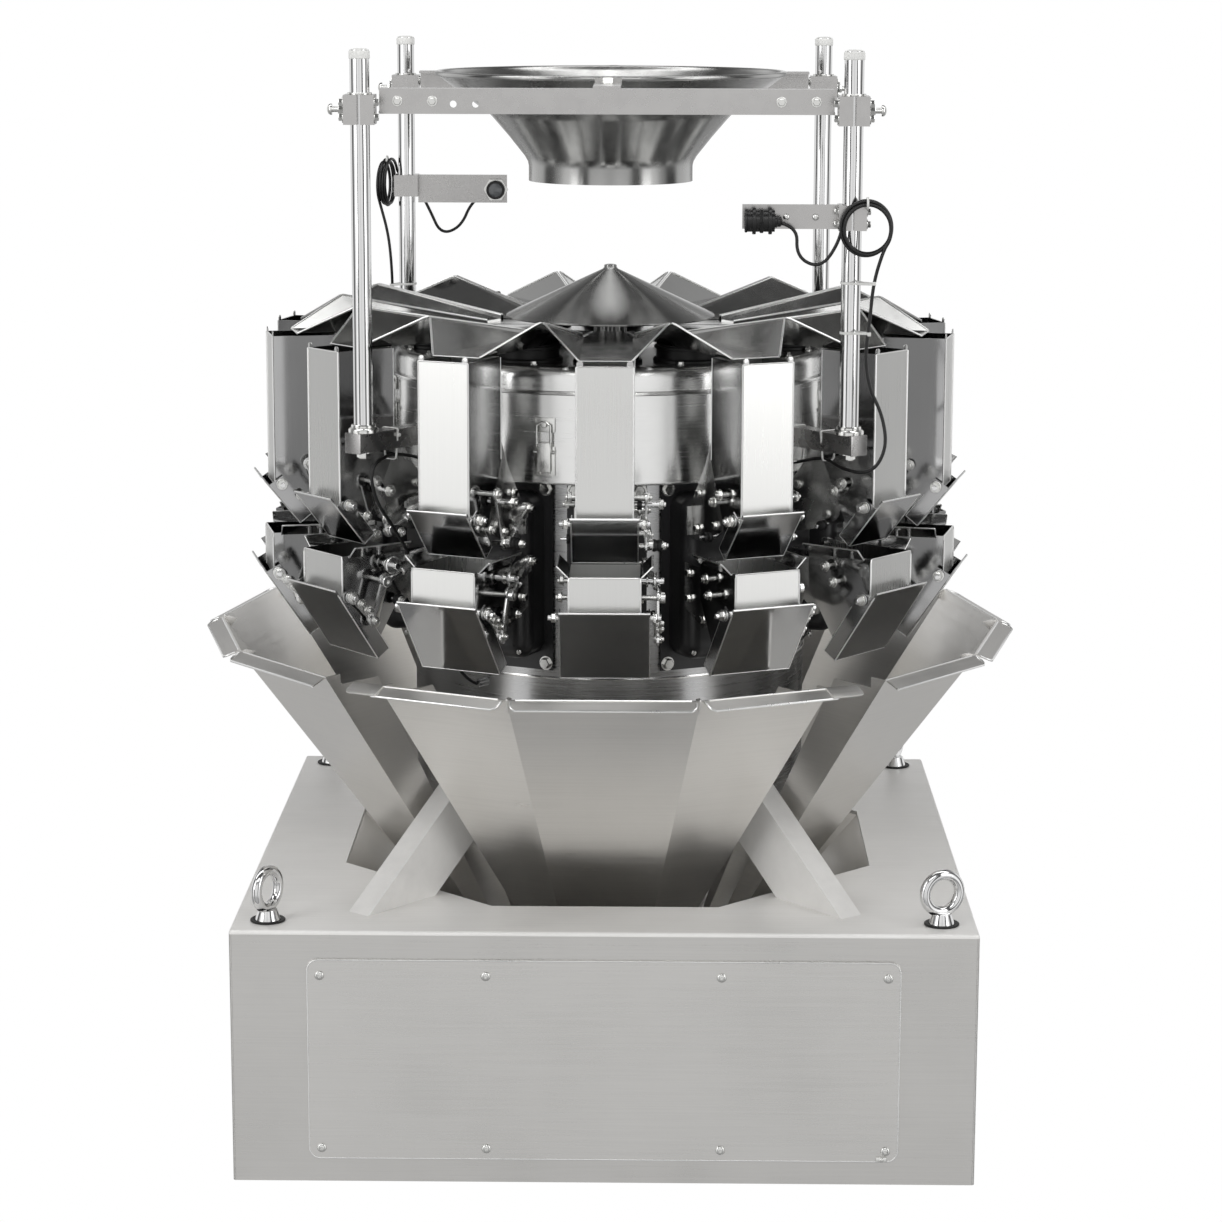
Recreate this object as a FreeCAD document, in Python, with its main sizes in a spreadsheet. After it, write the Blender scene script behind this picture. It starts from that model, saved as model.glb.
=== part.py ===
import FreeCAD, Part
import math, os
import Sketcher

# Multihead weigher: fourteen weighing heads on a ring round a central column,
# standing on a square welded base.  Millimetres, +Z up, the origin at the centre of
# the base's underside, the front of the machine towards -Y.
# Head 1 is at the front; heads are counted anticlockwise seen from below.

os.makedirs("parts", exist_ok=True)
doc = FreeCAD.newDocument("multihead_weigher")
V = FreeCAD.Vector

SIZES = [
    # the ring of heads
    ("heads", 14), ("pitch", 360.0 / 14), ("sheet_t", 1.5),
    # base
    ("base_w", 1100), ("base_z", 385), ("wall_t", 5), ("deck_t", 6), ("hole_a", 412), ("edge_r", 5),
    ("cover_w", 872), ("cover_z_low", 36), ("cover_z_high", 343), ("cover_t", 4), ("cover_r", 17),
    ("side_cover_w", 980), ("side_cover_t", 5),
    ("funnel_out_a", 110), ("funnel_z_low", 60), ("spout_z", 20),
    # lifting eyes
    ("eye_x", 498), ("eye_y", 496), ("eye_major", 28), ("eye_minor", 8), ("eye_collar_r", 20), ("eye_collar_z", 17), ("eye_z", 48),
    # legs and column
    ("leg_az", 1.5), ("leg_r_out", 588), ("leg_r_in", 440), ("leg_half", 20), ("leg_slope", 0.781),
    ("col_r", 309.5), ("col_z_low", 478), ("col_z_high", 1012),
    ("drum_r", 350), ("drum_z_low", 1014.5), ("drum_z_high", 1153), ("deck_ring_r", 342), ("deck_ring_z", 1190),
    # drive units
    ("plate_r", 310), ("plate_half", 60), ("plate_z_low", 725), ("plate_z_high", 1009), ("plate_t", 3),
    ("box_half", 46), ("box_z_low", 748), ("box_z_high", 998), ("box_d", 58), ("box_fillet", 24),
    # feed hoppers
    ("feed_r", 538), ("feed_half", 41.5), ("feed_z_low", 983), ("feed_z_high", 1214.5), ("feed_d", 98), ("feed_z_knee", 1062),
    ("feed_low_r", 499), ("feed_low_z", 935.4),
    ("feed_pin_r", 528), ("feed_pin_z", 986.6), ("feed_beta", 39), ("feed_off", 17.6), ("feed_lip", 29.8), ("feed_len", 65.5),
    ("feed_gate_half", 48.5), ("feed_lip_half", 50),
    # weigh hoppers
    ("weigh_r", 543), ("weigh_half", 52.5), ("weigh_z_low", 845), ("weigh_z_high", 911), ("weigh_d", 113), ("weigh_z_knee", 858),
    ("weigh_low_r", 488.8), ("weigh_low_z", 763.6),
    ("weigh_pin_r", 537.6), ("weigh_pin_z", 851.3), ("weigh_beta", 33.9), ("weigh_off", 15.8), ("weigh_lip", 24.7), ("weigh_len", 109),
    ("weigh_gate_half", 65.5), ("weigh_lip_half", 66),
    ("flare_out", 17), ("flare_up", 17),
    ("gate_t", 2), ("tray_h", 24), ("pin_radius", 4.45), ("pin_hole_radius", 4.5), ("ear_radius", 9.5), ("ear_t", 1.8),
    # chutes
    ("chute_z_low", 200), ("chute_z_high", 745), ("chute_a_low", 209), ("chute_a_high", 608), ("chute_t", 3),
    ("cheek_deep", 100), ("cheek_low", 20), ("sweep_r", 585), ("sweep_z", 729), ("gap_front", 66), ("gap_side", 35), ("lip_w", 23), ("lip_drop", 9),
    # feeder pans, cone, funnel
    ("pan_z", 1216.5), ("pan_half", 38), ("pan_r_in", 100), ("pan_r_out", 500), ("ridge_r_in", 190), ("ridge_z_in", 1223),
    ("ridge_r_out", 412), ("ridge_z_out", 1262), ("ridge_gap", 1.6), ("pan_lip_z", 1226),
    ("drive_r", 276), ("drive_radius", 47),
    ("cone_r", 163), ("cone_z_low", 1232.5), ("cone_z_high", 1309), ("cone_t", 2),
    ("fun_rim_r", 273), ("fun_rim_z", 1611), ("fun_mid_r", 188), ("fun_mid_z", 1546), ("fun_neck_r", 134), ("fun_neck_z", 1482),
    ("fun_out_r", 128), ("fun_out_z", 1444), ("fun_t", 2.5),
    # posts and what they carry
    ("post_ring", 565), ("post_radius", 14), ("post_z_low", 1106), ("post_z_high", 1655), ("arm_half", 14), ("arm_z_low", 1078),
    ("arm_r_in", 351), ("arm_r_out", 585),
    ("beam_half", 326), ("beam_y", 424), ("beam_z_low", 1564), ("beam_z_high", 1600), ("beam_t", 4), ("beam_leg", 36),
    ("clamp_x", 22), ("clamp_y", 25), ("clamp_z_low", 1550), ("clamp_z_high", 1592), ("clamp_slit", 5),
    ("cord_d", 5),
]

sheet = doc.addObject("Spreadsheet::Sheet", "Sizes")
for row, (alias, value) in enumerate(SIZES, 1):
    sheet.set("A%d" % row, alias)
    sheet.set("B%d" % row, repr(float(value)))
    sheet.setAlias("B%d" % row, alias)
doc.recompute()
G = dict((alias, float(value)) for alias, value in SIZES)


class Size:
    """A length: its value, and the expression that ties it to the sheet."""

    def __init__(self, value, text):
        self.value, self.text = float(value), text

    def _pair(self, other):
        return other if isinstance(other, Size) else Size(other, repr(float(other)))

    def __add__(self, o):
        o = self._pair(o)
        return Size(self.value + o.value, "(%s + %s)" % (self.text, o.text))

    def __radd__(self, o):
        return self._pair(o) + self

    def __sub__(self, o):
        o = self._pair(o)
        return Size(self.value - o.value, "(%s - %s)" % (self.text, o.text))

    def __rsub__(self, o):
        return self._pair(o) - self

    def __mul__(self, o):
        o = self._pair(o)
        return Size(self.value * o.value, "(%s * %s)" % (self.text, o.text))

    def __rmul__(self, o):
        return self._pair(o) * self

    def __truediv__(self, o):
        o = self._pair(o)
        return Size(self.value / o.value, "(%s / %s)" % (self.text, o.text))

    def __neg__(self):
        return Size(-self.value, "(-1 * %s)" % self.text)


def D(name):
    return Size(G[name], "Sizes.%s" % name)


def size(x):
    return x if isinstance(x, Size) else Size(x, repr(float(x)))


def sin_of(angle):
    return Size(math.sin(math.radians(angle.value)), "sin(%s * 1deg)" % angle.text)


def cos_of(angle):
    return Size(math.cos(math.radians(angle.value)), "cos(%s * 1deg)" % angle.text)


def bind(obj, prop, expression):
    obj.setExpression(prop, expression.text)


def role(body, name):
    return [f for f in body.Origin.OriginFeatures if f.Role == name][0]


def new_body(name):
    body = doc.addObject("PartDesign::Body", name)
    body.Label = name
    return body


def sketch(body, name, plane, outlines, holes=(), offset=None):
    """A sketch of closed polygons and circles, every point held by two sizes."""
    sk = body.newObject("Sketcher::SketchObject", name)
    sk.AttachmentSupport = [(role(body, plane), "")]
    sk.MapMode = "FlatFace"
    if offset is not None:
        sk.AttachmentOffset = FreeCAD.Placement(V(0, 0, offset.value), FreeCAD.Rotation())
        sk.setExpression("AttachmentOffset.Base.z", offset.text)
    for outline in outlines:
        pts = [(size(a), size(b)) for a, b in outline]
        first, n = sk.GeometryCount, len(pts)
        for i in range(n):
            a, b = pts[i], pts[(i + 1) % n]
            sk.addGeometry(Part.LineSegment(V(a[0].value, a[1].value, 0), V(b[0].value, b[1].value, 0)), False)
        for i in range(n):
            sk.addConstraint(Sketcher.Constraint("Coincident", first + i, 2, first + (i + 1) % n, 1))
        for i, (a, b) in enumerate(pts):
            for kind, axis, s in (("DistanceX", -2, a), ("DistanceY", -1, b)):
                if abs(s.value) < 1e-9:
                    sk.addConstraint(Sketcher.Constraint("PointOnObject", first + i, 1, axis))
                else:
                    c = sk.addConstraint(Sketcher.Constraint(kind, -1, 1, first + i, 1, s.value))
                    sk.setExpression("Constraints[%d]" % c, s.text)
    for (a, b, r) in holes:
        a, b, r = size(a), size(b), size(r)
        g = sk.addGeometry(Part.Circle(V(a.value, b.value, 0), V(0, 0, 1), r.value), False)
        for kind, axis, s in (("DistanceX", -2, a), ("DistanceY", -1, b)):
            if abs(s.value) < 1e-9:
                sk.addConstraint(Sketcher.Constraint("PointOnObject", g, 3, axis))
            else:
                c = sk.addConstraint(Sketcher.Constraint(kind, -1, 1, g, 3, s.value))
                sk.setExpression("Constraints[%d]" % c, s.text)
        c = sk.addConstraint(Sketcher.Constraint("Radius", g, r.value))
        sk.setExpression("Constraints[%d]" % c, r.text)
    return sk


def pad(body, sk, length, midplane=True, reverse=False):
    f = body.newObject("PartDesign::Pad", sk.Name + "_pad")
    f.Profile = sk
    f.Midplane = midplane
    f.Reversed = reverse
    f.Length = size(length).value
    bind(f, "Length", size(length))
    sk.Visibility = False
    doc.recompute()
    return f


def pocket(body, sk, length, midplane=True, reverse=False):
    before = body.Shape.Volume
    f = body.newObject("PartDesign::Pocket", sk.Name + "_pocket")
    f.Profile = sk
    f.Midplane = midplane
    f.Reversed = reverse
    f.Length = size(length).value
    bind(f, "Length", size(length))
    doc.recompute()
    if not body.Shape.Volume < before - 1e-3:
        raise RuntimeError("%s cut nothing" % f.Name)
    return f


def revolve(body, sk):
    f = body.newObject("PartDesign::Revolution", sk.Name + "_turn")
    f.Profile = sk
    f.ReferenceAxis = (sk, ["V_Axis"])
    f.Angle = 360
    doc.recompute()
    return f


def fillet(body, name, picked, radius):
    base = body.Tip
    f = body.newObject("PartDesign::Fillet", name)
    f.Base = (base, picked)
    radius = size(radius)
    f.Radius = radius.value
    bind(f, "Radius", radius)
    body.Tip = f
    doc.recompute()
    return f


def polar(body, originals, count=None):
    f = body.newObject("PartDesign::PolarPattern", body.Name + "_ring")
    f.Originals = originals
    f.Axis = (role(body, "Z_Axis"), [""])
    f.Angle = 360
    f.Occurrences = int(count or G["heads"])
    if count is None:
        f.setExpression("Occurrences", "Sizes.heads")
    body.Tip = f
    doc.recompute()
    return f


def turned(body, n):
    """Puts a body made for head 1 at head n."""
    body.Placement = FreeCAD.Placement(V(0, 0, 0), FreeCAD.Rotation(V(0, 0, 1), -G["pitch"] * (n - 1)))
    body.setExpression("Placement.Rotation.Angle", "-1deg * Sizes.pitch * %d" % (n - 1))
    return body


def ring_of(name, base, placements):
    """One part held as equal solids at several places."""
    links = []
    for k, placement in enumerate(placements, 1):
        link = doc.addObject("App::Link", "%s_at_%02d" % (base.Name, k))
        link.LinkedObject = base
        link.LinkTransform = True
        link.Placement = placement
        link.Label = link.Name
        links.append(link)
    return compound(name, links)


def around(n):
    return FreeCAD.Placement(V(0, 0, 0), FreeCAD.Rotation(V(0, 0, 1), -G["pitch"] * n))


def box(name, x, y, z, dx, dy, dz, turn=0.0):
    """A block between two corners, its sizes and its corner tied to the sheet."""
    b = doc.addObject("Part::Box", name)
    for prop, s in (("Length", dx), ("Width", dy), ("Height", dz)):
        s = size(s)
        setattr(b, prop, s.value)
        bind(b, prop, s)
    x, y, z = size(x), size(y), size(z)
    b.Placement = FreeCAD.Placement(V(x.value, y.value, z.value), FreeCAD.Rotation())
    for axis, s in (("x", x), ("y", y), ("z", z)):
        b.setExpression("Placement.Base.%s" % axis, s.text)
    return b


def cylinder(name, x, y, z, r, h, direction=None):
    c = doc.addObject("Part::Cylinder", name)
    r, h, x, y, z = size(r), size(h), size(x), size(y), size(z)
    c.Radius, c.Height = r.value, h.value
    bind(c, "Radius", r)
    bind(c, "Height", h)
    rot = FreeCAD.Rotation(V(0, 0, 1), direction) if direction is not None else FreeCAD.Rotation()
    c.Placement = FreeCAD.Placement(V(x.value, y.value, z.value), rot)
    for axis, s in (("x", x), ("y", y), ("z", z)):
        c.setExpression("Placement.Base.%s" % axis, s.text)
    return c


def fuse(name, shapes):
    f = doc.addObject("Part::MultiFuse", name)
    f.Shapes = shapes
    f.Label = name
    doc.recompute()
    return f


def cut(name, base, tool):
    f = doc.addObject("Part::Cut", name)
    f.Base, f.Tool = base, tool
    f.Label = name
    doc.recompute()
    if not f.Shape.Volume < base.Shape.Volume - 1e-3:
        raise RuntimeError("%s cut nothing" % name)
    return f


def common(name, shapes):
    f = doc.addObject("Part::MultiCommon", name)
    f.Shapes = shapes
    f.Label = name
    doc.recompute()
    return f


def compound(name, shapes):
    f = doc.addObject("Part::Compound", name)
    f.Links = shapes
    f.Label = name
    doc.recompute()
    return f


NODES = {}


def node(name, obj):
    NODES[name] = obj
    return obj


HALF = D("base_w") / 2

# ---------------------------------------------------------------- base
top = new_body("base_top_plate")
sk = sketch(top, "deck_outline", "XY_Plane", [[(-HALF, -HALF), (HALF, -HALF), (HALF, HALF), (-HALF, HALF)]], offset=D("base_z") - D("deck_t"))
pad(top, sk, D("deck_t"), midplane=False)
A = D("hole_a")
B = A * math.tan(math.radians(22.5))
sk = sketch(top, "deck_hole", "XY_Plane", [[(-B, -A), (B, -A), (A, -B), (A, B), (B, A), (-B, A), (-A, B), (-A, -B)]], offset=D("base_z"))
pocket(top, sk, D("deck_t") * 3, midplane=True)
edges = []
for i, e in enumerate(top.Shape.Edges, 1):
    b = e.BoundBox
    outer = [abs(abs(v) - G["base_w"] / 2) < 0.01 for v in (b.XMin, b.XMax, b.YMin, b.YMax)]
    on_side = (outer[0] and outer[1] and b.XLength < 0.01) or (outer[2] and outer[3] and b.YLength < 0.01)
    if on_side and (b.ZMin > G["base_z"] - 0.01 or b.ZLength > G["deck_t"] - 0.01):
        edges.append("Edge%d" % i)
fillet(top, "deck_round", edges, D("edge_r"))
node("base_top_plate", top)


def base_wall(name, sign):
    body = new_body(name)
    y0, y1 = sign * HALF, sign * (HALF - D("wall_t"))
    sk = sketch(body, name + "_plan", "XY_Plane", [[(-HALF, y0), (HALF, y0), (HALF, y1), (-HALF, y1)]])
    pad(body, sk, D("base_z") - D("deck_t"), midplane=False)
    picked = []
    for i, e in enumerate(body.Shape.Edges, 1):
        b = e.BoundBox
        if b.ZLength > 100 and abs(b.YMin - sign * G["base_w"] / 2) < 0.01:
            picked.append("Edge%d" % i)
    fillet(body, name + "_round", picked, D("edge_r") - 0.05)
    return body


front_wall = base_wall("base_front_wall", -1)
back_wall = base_wall("base_back_wall", 1)
node("base_end_walls", compound("base_end_walls", [front_wall, back_wall]))
INNER = HALF - D("wall_t")
left_wall = box("base_left_wall", -HALF, -INNER, 0, D("wall_t"), INNER * 2, D("base_z") - D("deck_t"))
right_wall = box("base_right_wall", INNER, -INNER, 0, D("wall_t"), INNER * 2, D("base_z") - D("deck_t"))
node("base_side_walls", compound("base_side_walls", [left_wall, right_wall]))


def rounded_plate(name, plane, half, low, high, thick, offset, reverse):
    body = new_body(name)
    sk = sketch(body, name + "_outline", plane, [[(-half, low), (half, low), (half, high), (-half, high)]], offset=offset)
    pad(body, sk, thick, midplane=False, reverse=reverse)
    long_edges = []
    for i, e in enumerate(body.Shape.Edges, 1):
        b = e.BoundBox
        if abs(max(b.XLength, b.YLength, b.ZLength) - size(thick).value) < 0.01:
            long_edges.append("Edge%d" % i)
    fillet(body, name + "_corners", long_edges, D("cover_r"))
    return body


front_cover = rounded_plate("front_cover", "XZ_Plane", D("cover_w") / 2, D("cover_z_low"), D("cover_z_high"), D("cover_t"), HALF, False)
back_cover = rounded_plate("back_cover", "XZ_Plane", D("cover_w") / 2, D("cover_z_low"), D("cover_z_high"), D("cover_t"), -HALF, True)
right_cover = rounded_plate("right_cover", "YZ_Plane", D("side_cover_w") / 2, D("cover_z_low"), D("cover_z_high"), D("side_cover_t"), HALF, False)
left_cover = rounded_plate("left_cover", "YZ_Plane", D("side_cover_w") / 2, D("cover_z_low"), D("cover_z_high"), D("side_cover_t"), -HALF, True)
for c, want in ((front_cover, -G["base_w"] / 2), (back_cover, G["base_w"] / 2)):
    b = c.Shape.BoundBox
    print(c.Label, round(b.YMin, 1), round(b.YMax, 1), want)
node("access_covers", compound("access_covers", [front_cover, back_cover, right_cover, left_cover]))

# Collecting funnel hung in the hole of the base: eight flat sides down to a spout.


def ngon_frustum(name, sides, a_low, z_low, a_high, z_high, start):
    """A solid pyramid stump with flat sides, from the apothems of its ends."""
    k = 1.0 / math.cos(math.pi / sides)
    low = doc.addObject("Part::RegularPolygon", name + "_low")
    high = doc.addObject("Part::RegularPolygon", name + "_high")
    for p, a, z in ((low, a_low, z_low), (high, a_high, z_high)):
        p.Polygon = sides
        a, z = size(a), size(z)
        p.Circumradius = (a * k).value
        bind(p, "Circumradius", a * k)
        p.Placement = FreeCAD.Placement(V(0, 0, z.value), FreeCAD.Rotation(V(0, 0, 1), start))
        p.setExpression("Placement.Base.z", z.text)
    loft = doc.addObject("Part::Loft", name)
    loft.Sections = [low, high]
    loft.Solid, loft.Ruled = True, True
    doc.recompute()
    return loft


FT = D("chute_t")
FZ = D("base_z") - D("deck_t")
slope = (D("hole_a") - D("funnel_out_a")) / (FZ - D("funnel_z_low"))
outer = ngon_frustum("collect_outer", 8, D("funnel_out_a"), D("funnel_z_low"), D("hole_a") + 4, FZ, 22.5)
inner = ngon_frustum("collect_inner", 8, D("funnel_out_a") - FT * 1.5, D("funnel_z_low") - 0.01, D("hole_a") + 4 - FT * 1.5, FZ + 0.01, 22.5)
spout_o = ngon_frustum("spout_outer", 8, D("funnel_out_a"), D("spout_z"), D("funnel_out_a"), D("funnel_z_low"), 22.5)
spout_i = ngon_frustum("spout_inner", 8, D("funnel_out_a") - FT * 1.5, D("spout_z") - 1, D("funnel_out_a") - FT * 1.5, D("funnel_z_low") + 1, 22.5)
collect_hollow = fuse("collect_hollow", [inner, spout_i])
collect_solid = fuse("collect_solid", [outer, spout_o])
node("collecting_funnel", cut("collecting_funnel", collect_solid, collect_hollow))

# ---------------------------------------------------------------- lifting eyes
eyes = []
for sx, sy, turn in ((-1, -1, 62), (1, -1, 22), (-1, 1, 118), (1, 1, 68)):
    tag = "%s_%s" % ("left" if sx < 0 else "right", "front" if sy < 0 else "rear")
    ring = doc.addObject("Part::Torus", "eye_ring_" + tag)
    ring.Radius1, ring.Radius2 = G["eye_major"], G["eye_minor"]
    ring.setExpression("Radius1", "Sizes.eye_major")
    ring.setExpression("Radius2", "Sizes.eye_minor")
    z = G["base_z"] + G["eye_z"]
    ring.Placement = FreeCAD.Placement(V(sx * G["eye_x"], sy * G["eye_y"], z), FreeCAD.Rotation(V(0, 0, 1), turn) * FreeCAD.Rotation(V(1, 0, 0), 90))
    collar = doc.addObject("Part::Cone", "eye_collar_" + tag)
    collar.Radius1, collar.Radius2, collar.Height = G["eye_collar_r"], G["eye_collar_r"] * 0.7, G["eye_collar_z"]
    collar.setExpression("Radius1", "Sizes.eye_collar_r")
    collar.setExpression("Height", "Sizes.eye_collar_z")
    collar.Placement = FreeCAD.Placement(V(sx * G["eye_x"], sy * G["eye_y"], G["base_z"]), FreeCAD.Rotation())
    eyes.append(fuse("eye_" + tag, [ring, collar]))
node("lifting_eyes", compound("lifting_eyes", eyes))

# ---------------------------------------------------------------- column, legs, drum


def gland(name, az, r, z, length):
    """A cable gland standing out of a round wall, its axis level and pointing out from the middle."""
    a = math.radians(az)
    out = V(-math.sin(a), -math.cos(a), 0)
    return cylinder(name, out.x * (r - 4), out.y * (r - 4), z, 7, length + 4, out)


column_tube = cylinder("column_tube", 0, 0, D("col_z_low"), D("col_r"), D("col_z_high") - D("col_z_low"))
node("centre_column", fuse("centre_column", [column_tube, gland("column_gland", G["leg_az"] * G["pitch"], G["col_r"], 692, 12)]))
LEG_AZ = [G["leg_az"] * G["pitch"], -G["leg_az"] * G["pitch"], 180 - G["leg_az"] * G["pitch"], 180 + G["leg_az"] * G["pitch"]]
leg = new_body("leg")
reach = D("col_r") * 0.98
R_, I_ = D("leg_r_out"), D("leg_r_in")
sk = sketch(leg, "leg_side", "YZ_Plane", [[(-R_, D("base_z")), (-I_, D("base_z")), (-reach, D("base_z") + (I_ - reach) * D("leg_slope")), (-reach, D("base_z") + (R_ - reach) * D("leg_slope"))]])
pad(leg, sk, D("leg_half") * 2)
legs_raw = ring_of("legs_raw", leg, [FreeCAD.Placement(V(0, 0, 0), FreeCAD.Rotation(V(0, 0, 1), -a)) for a in LEG_AZ])
trim = cylinder("leg_trim", 0, 0, D("col_z_low") - 100, D("col_r"), 600)
node("support_legs", cut("support_legs", legs_raw, trim))
drum = new_body("drum_case")
sk = sketch(drum, "drum_profile", "XZ_Plane", [[(0, D("drum_z_low") - 2.5), (D("drum_r") - 30, D("drum_z_low") - 2.5), (D("drum_r") - 30, D("drum_z_low")), (D("drum_r"), D("drum_z_low")), (D("drum_r"), D("drum_z_high") - 3), (D("drum_r") - 3, D("drum_z_high")), (D("deck_ring_r"), D("drum_z_high")), (D("deck_ring_r"), D("deck_ring_z") - 14), (D("deck_ring_r") - 4, D("deck_ring_z") - 5), (D("deck_ring_r") - 14, D("deck_ring_z")), (0, D("deck_ring_z"))]])
revolve(drum, sk)
glands = [gland("drum_gland_%d" % k, az, G["drum_r"], 1040, 14) for k, az in enumerate(LEG_AZ[:3])]
node("upper_drum", fuse("upper_drum", [drum] + glands))

# ---------------------------------------------------------------- drive units
unit = new_body("drive_unit")
PR = D("plate_r")
sk = sketch(unit, "unit_plate", "XZ_Plane", [[(-D("plate_half"), D("plate_z_low")), (D("plate_half"), D("plate_z_low")), (D("plate_half"), D("plate_z_high")), (-D("plate_half"), D("plate_z_high"))]], offset=PR)
pad(unit, sk, D("plate_t"), midplane=False)
sk = sketch(unit, "unit_case", "XZ_Plane", [[(-D("box_half"), D("box_z_low")), (D("box_half"), D("box_z_low")), (D("box_half"), D("box_z_high")), (-D("box_half"), D("box_z_high"))]], offset=PR + D("plate_t"))
pad(unit, sk, D("box_d"), midplane=False)
picked = []
for i, e in enumerate(unit.Shape.Edges, 1):
    b = e.BoundBox
    front = abs(b.YMin + G["plate_r"] + G["plate_t"] + G["box_d"]) < 0.01
    side = abs(abs(b.XMin) - G["box_half"]) < 0.01 and b.XLength < 0.01 and b.YLength > G["box_d"] - 0.01
    if (front and b.YLength < 0.01) or side:
        picked.append("Edge%d" % i)
fillet(unit, "unit_round", picked, D("box_fillet"))
print("drive unit y", round(unit.Shape.BoundBox.YMin, 1), round(unit.Shape.BoundBox.YMax, 1))
node("drive_units", ring_of("drive_units", unit, [around(i) for i in range(14)]))

# ---------------------------------------------------------------- hoppers
T = D("sheet_t")


def hopper(name, r, half, z_low, z_high, deep, knee, low_r, low_z, pin_r, pin_z, flare):
    """Front wall, two side walls cut along the gate, a back wall that leans in; open at the top and bottom."""
    body = new_body(name)
    back = r - deep
    outline = [(-r, z_low), (-r, z_high), (-back, z_high), (-back, knee), (-low_r, low_z)]
    sk = sketch(body, name + "_side", "YZ_Plane", [outline])
    pad(body, sk, half * 2)
    inside = [(-(r - T), z_low - 30), (-(r - T), z_high + 5), (-(back + T), z_high + 5), (-(back + T), knee + 0.5), (-(low_r + T * 1.1), low_z - 0.4), (-(low_r + T * 1.1), low_z - 30)]
    sk = sketch(body, name + "_hollow", "YZ_Plane", [inside])
    pocket(body, sk, (half - T) * 2)
    if flare:
        sx = half
        up, out = D("flare_up"), D("flare_out")
        for s in (-1, 1):
            sk = sketch(body, "%s_flare_%s" % (name, "left" if s < 0 else "right"), "XZ_Plane",
                        [[(s * (sx - T), z_high - 3), (s * sx, z_high - 3), (s * (sx + out), z_high - 3 + up), (s * (sx + out - T * 1.4), z_high - 3 + up)]], offset=back)
            pad(body, sk, deep - 12, midplane=False)
    # the two gate pins
    for s in (-1, 1):
        sk = sketch(body, "%s_pin_%s" % (name, "left" if s < 0 else "right"), "YZ_Plane", [], [(-pin_r, pin_z, D("pin_radius"))], offset=s * (half - T))
        gate_half = D("weigh_gate_half") if flare else D("feed_gate_half")
        pad(body, sk, gate_half - half + T + 3, midplane=False, reverse=(s < 0))
        sk = sketch(body, "%s_boss_%s" % (name, "left" if s < 0 else "right"), "YZ_Plane", [], [(-pin_r, pin_z, D("pin_radius") + 2.6)], offset=s * (half - T))
        pad(body, sk, gate_half - half + T - D("ear_t") - 0.8, midplane=False, reverse=(s < 0))
    return body


feed = hopper("feed_hopper", D("feed_r"), D("feed_half"), D("feed_z_low"), D("feed_z_high"), D("feed_d"), D("feed_z_knee"),
              D("feed_low_r"), D("feed_low_z"), D("feed_pin_r"), D("feed_pin_z"), False)
weigh = hopper("weigh_hopper", D("weigh_r"), D("weigh_half"), D("weigh_z_low"), D("weigh_z_high"), D("weigh_d"), D("weigh_z_knee"),
               D("weigh_low_r"), D("weigh_low_z"), D("weigh_pin_r"), D("weigh_pin_z"), True)
node("feed_hoppers", ring_of("feed_hoppers", feed, [around(i) for i in range(14)]))
node("weigh_hoppers", ring_of("weigh_hoppers", weigh, [around(i) for i in range(14)]))

# Hangers: the brackets that carry each hopper on its drive unit.
hang = new_body("hanger")
h0 = D("plate_r") + D("plate_t") + D("box_d")
sk = sketch(hang, "hanger_feed", "YZ_Plane", [[(-h0, 960), (-h0, 990), (-(D("feed_r") - D("feed_d")), 1100), (-(D("feed_r") - D("feed_d")), 1070)]])
pad(hang, sk, 36)
sk = sketch(hang, "hanger_weigh", "YZ_Plane", [[(-h0, 850), (-h0, 905), (-(D("weigh_r") - D("weigh_d")), 905), (-(D("weigh_r") - D("weigh_d")), 862)]])
pad(hang, sk, 44)
node("hopper_hangers", ring_of("hopper_hangers", hang, [around(i) for i in range(14)]))

# ---------------------------------------------------------------- gates, one to each hopper


def gate(name, n, pin_r, pin_z, beta, off, lip, length, half, lip_half):
    """A tray that closes the hopper's sloping mouth: flat plate, two side flanges, two pierced ears, a lip along the top."""
    body = new_body(name)
    s, c = sin_of(beta), cos_of(beta)

    def at(along, out):
        # along the plate from the pivot's foot, down and inwards; out from the pivot towards the plate
        return (-(pin_r + c * out - s * along), pin_z - s * out - c * along)

    t = D("gate_t")
    sk = sketch(body, name + "_plate", "YZ_Plane", [[at(-lip, off), at(length, off), at(length, off - t), at(-lip, off - t)]])
    pad(body, sk, half * 2)
    sk = sketch(body, name + "_lip", "YZ_Plane", [[at(-lip, off), at(-lip + 7, off), at(-lip + 7, off - t), at(-lip, off - t)]])
    pad(body, sk, lip_half * 2)
    ear, er = D("ear_t"), D("ear_radius")
    for sgn in (-1, 1):
        side = "left" if sgn < 0 else "right"
        flange = [at(-er - 2, off - t * 0.5), at(length, off - t * 0.5), at(length, off - D("tray_h")), at(er * 2.2, off - D("tray_h")), at(er, -er), at(-er, -er)]
        sk = sketch(body, "%s_ear_%s" % (name, side), "YZ_Plane", [flange], offset=sgn * (half - ear))
        pad(body, sk, ear, midplane=False, reverse=(sgn < 0))
    sk = sketch(body, name + "_bore", "YZ_Plane", [], [(-pin_r, pin_z, D("pin_hole_radius"))])
    pocket(body, sk, lip_half * 4)
    return turned(body, n)


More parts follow.
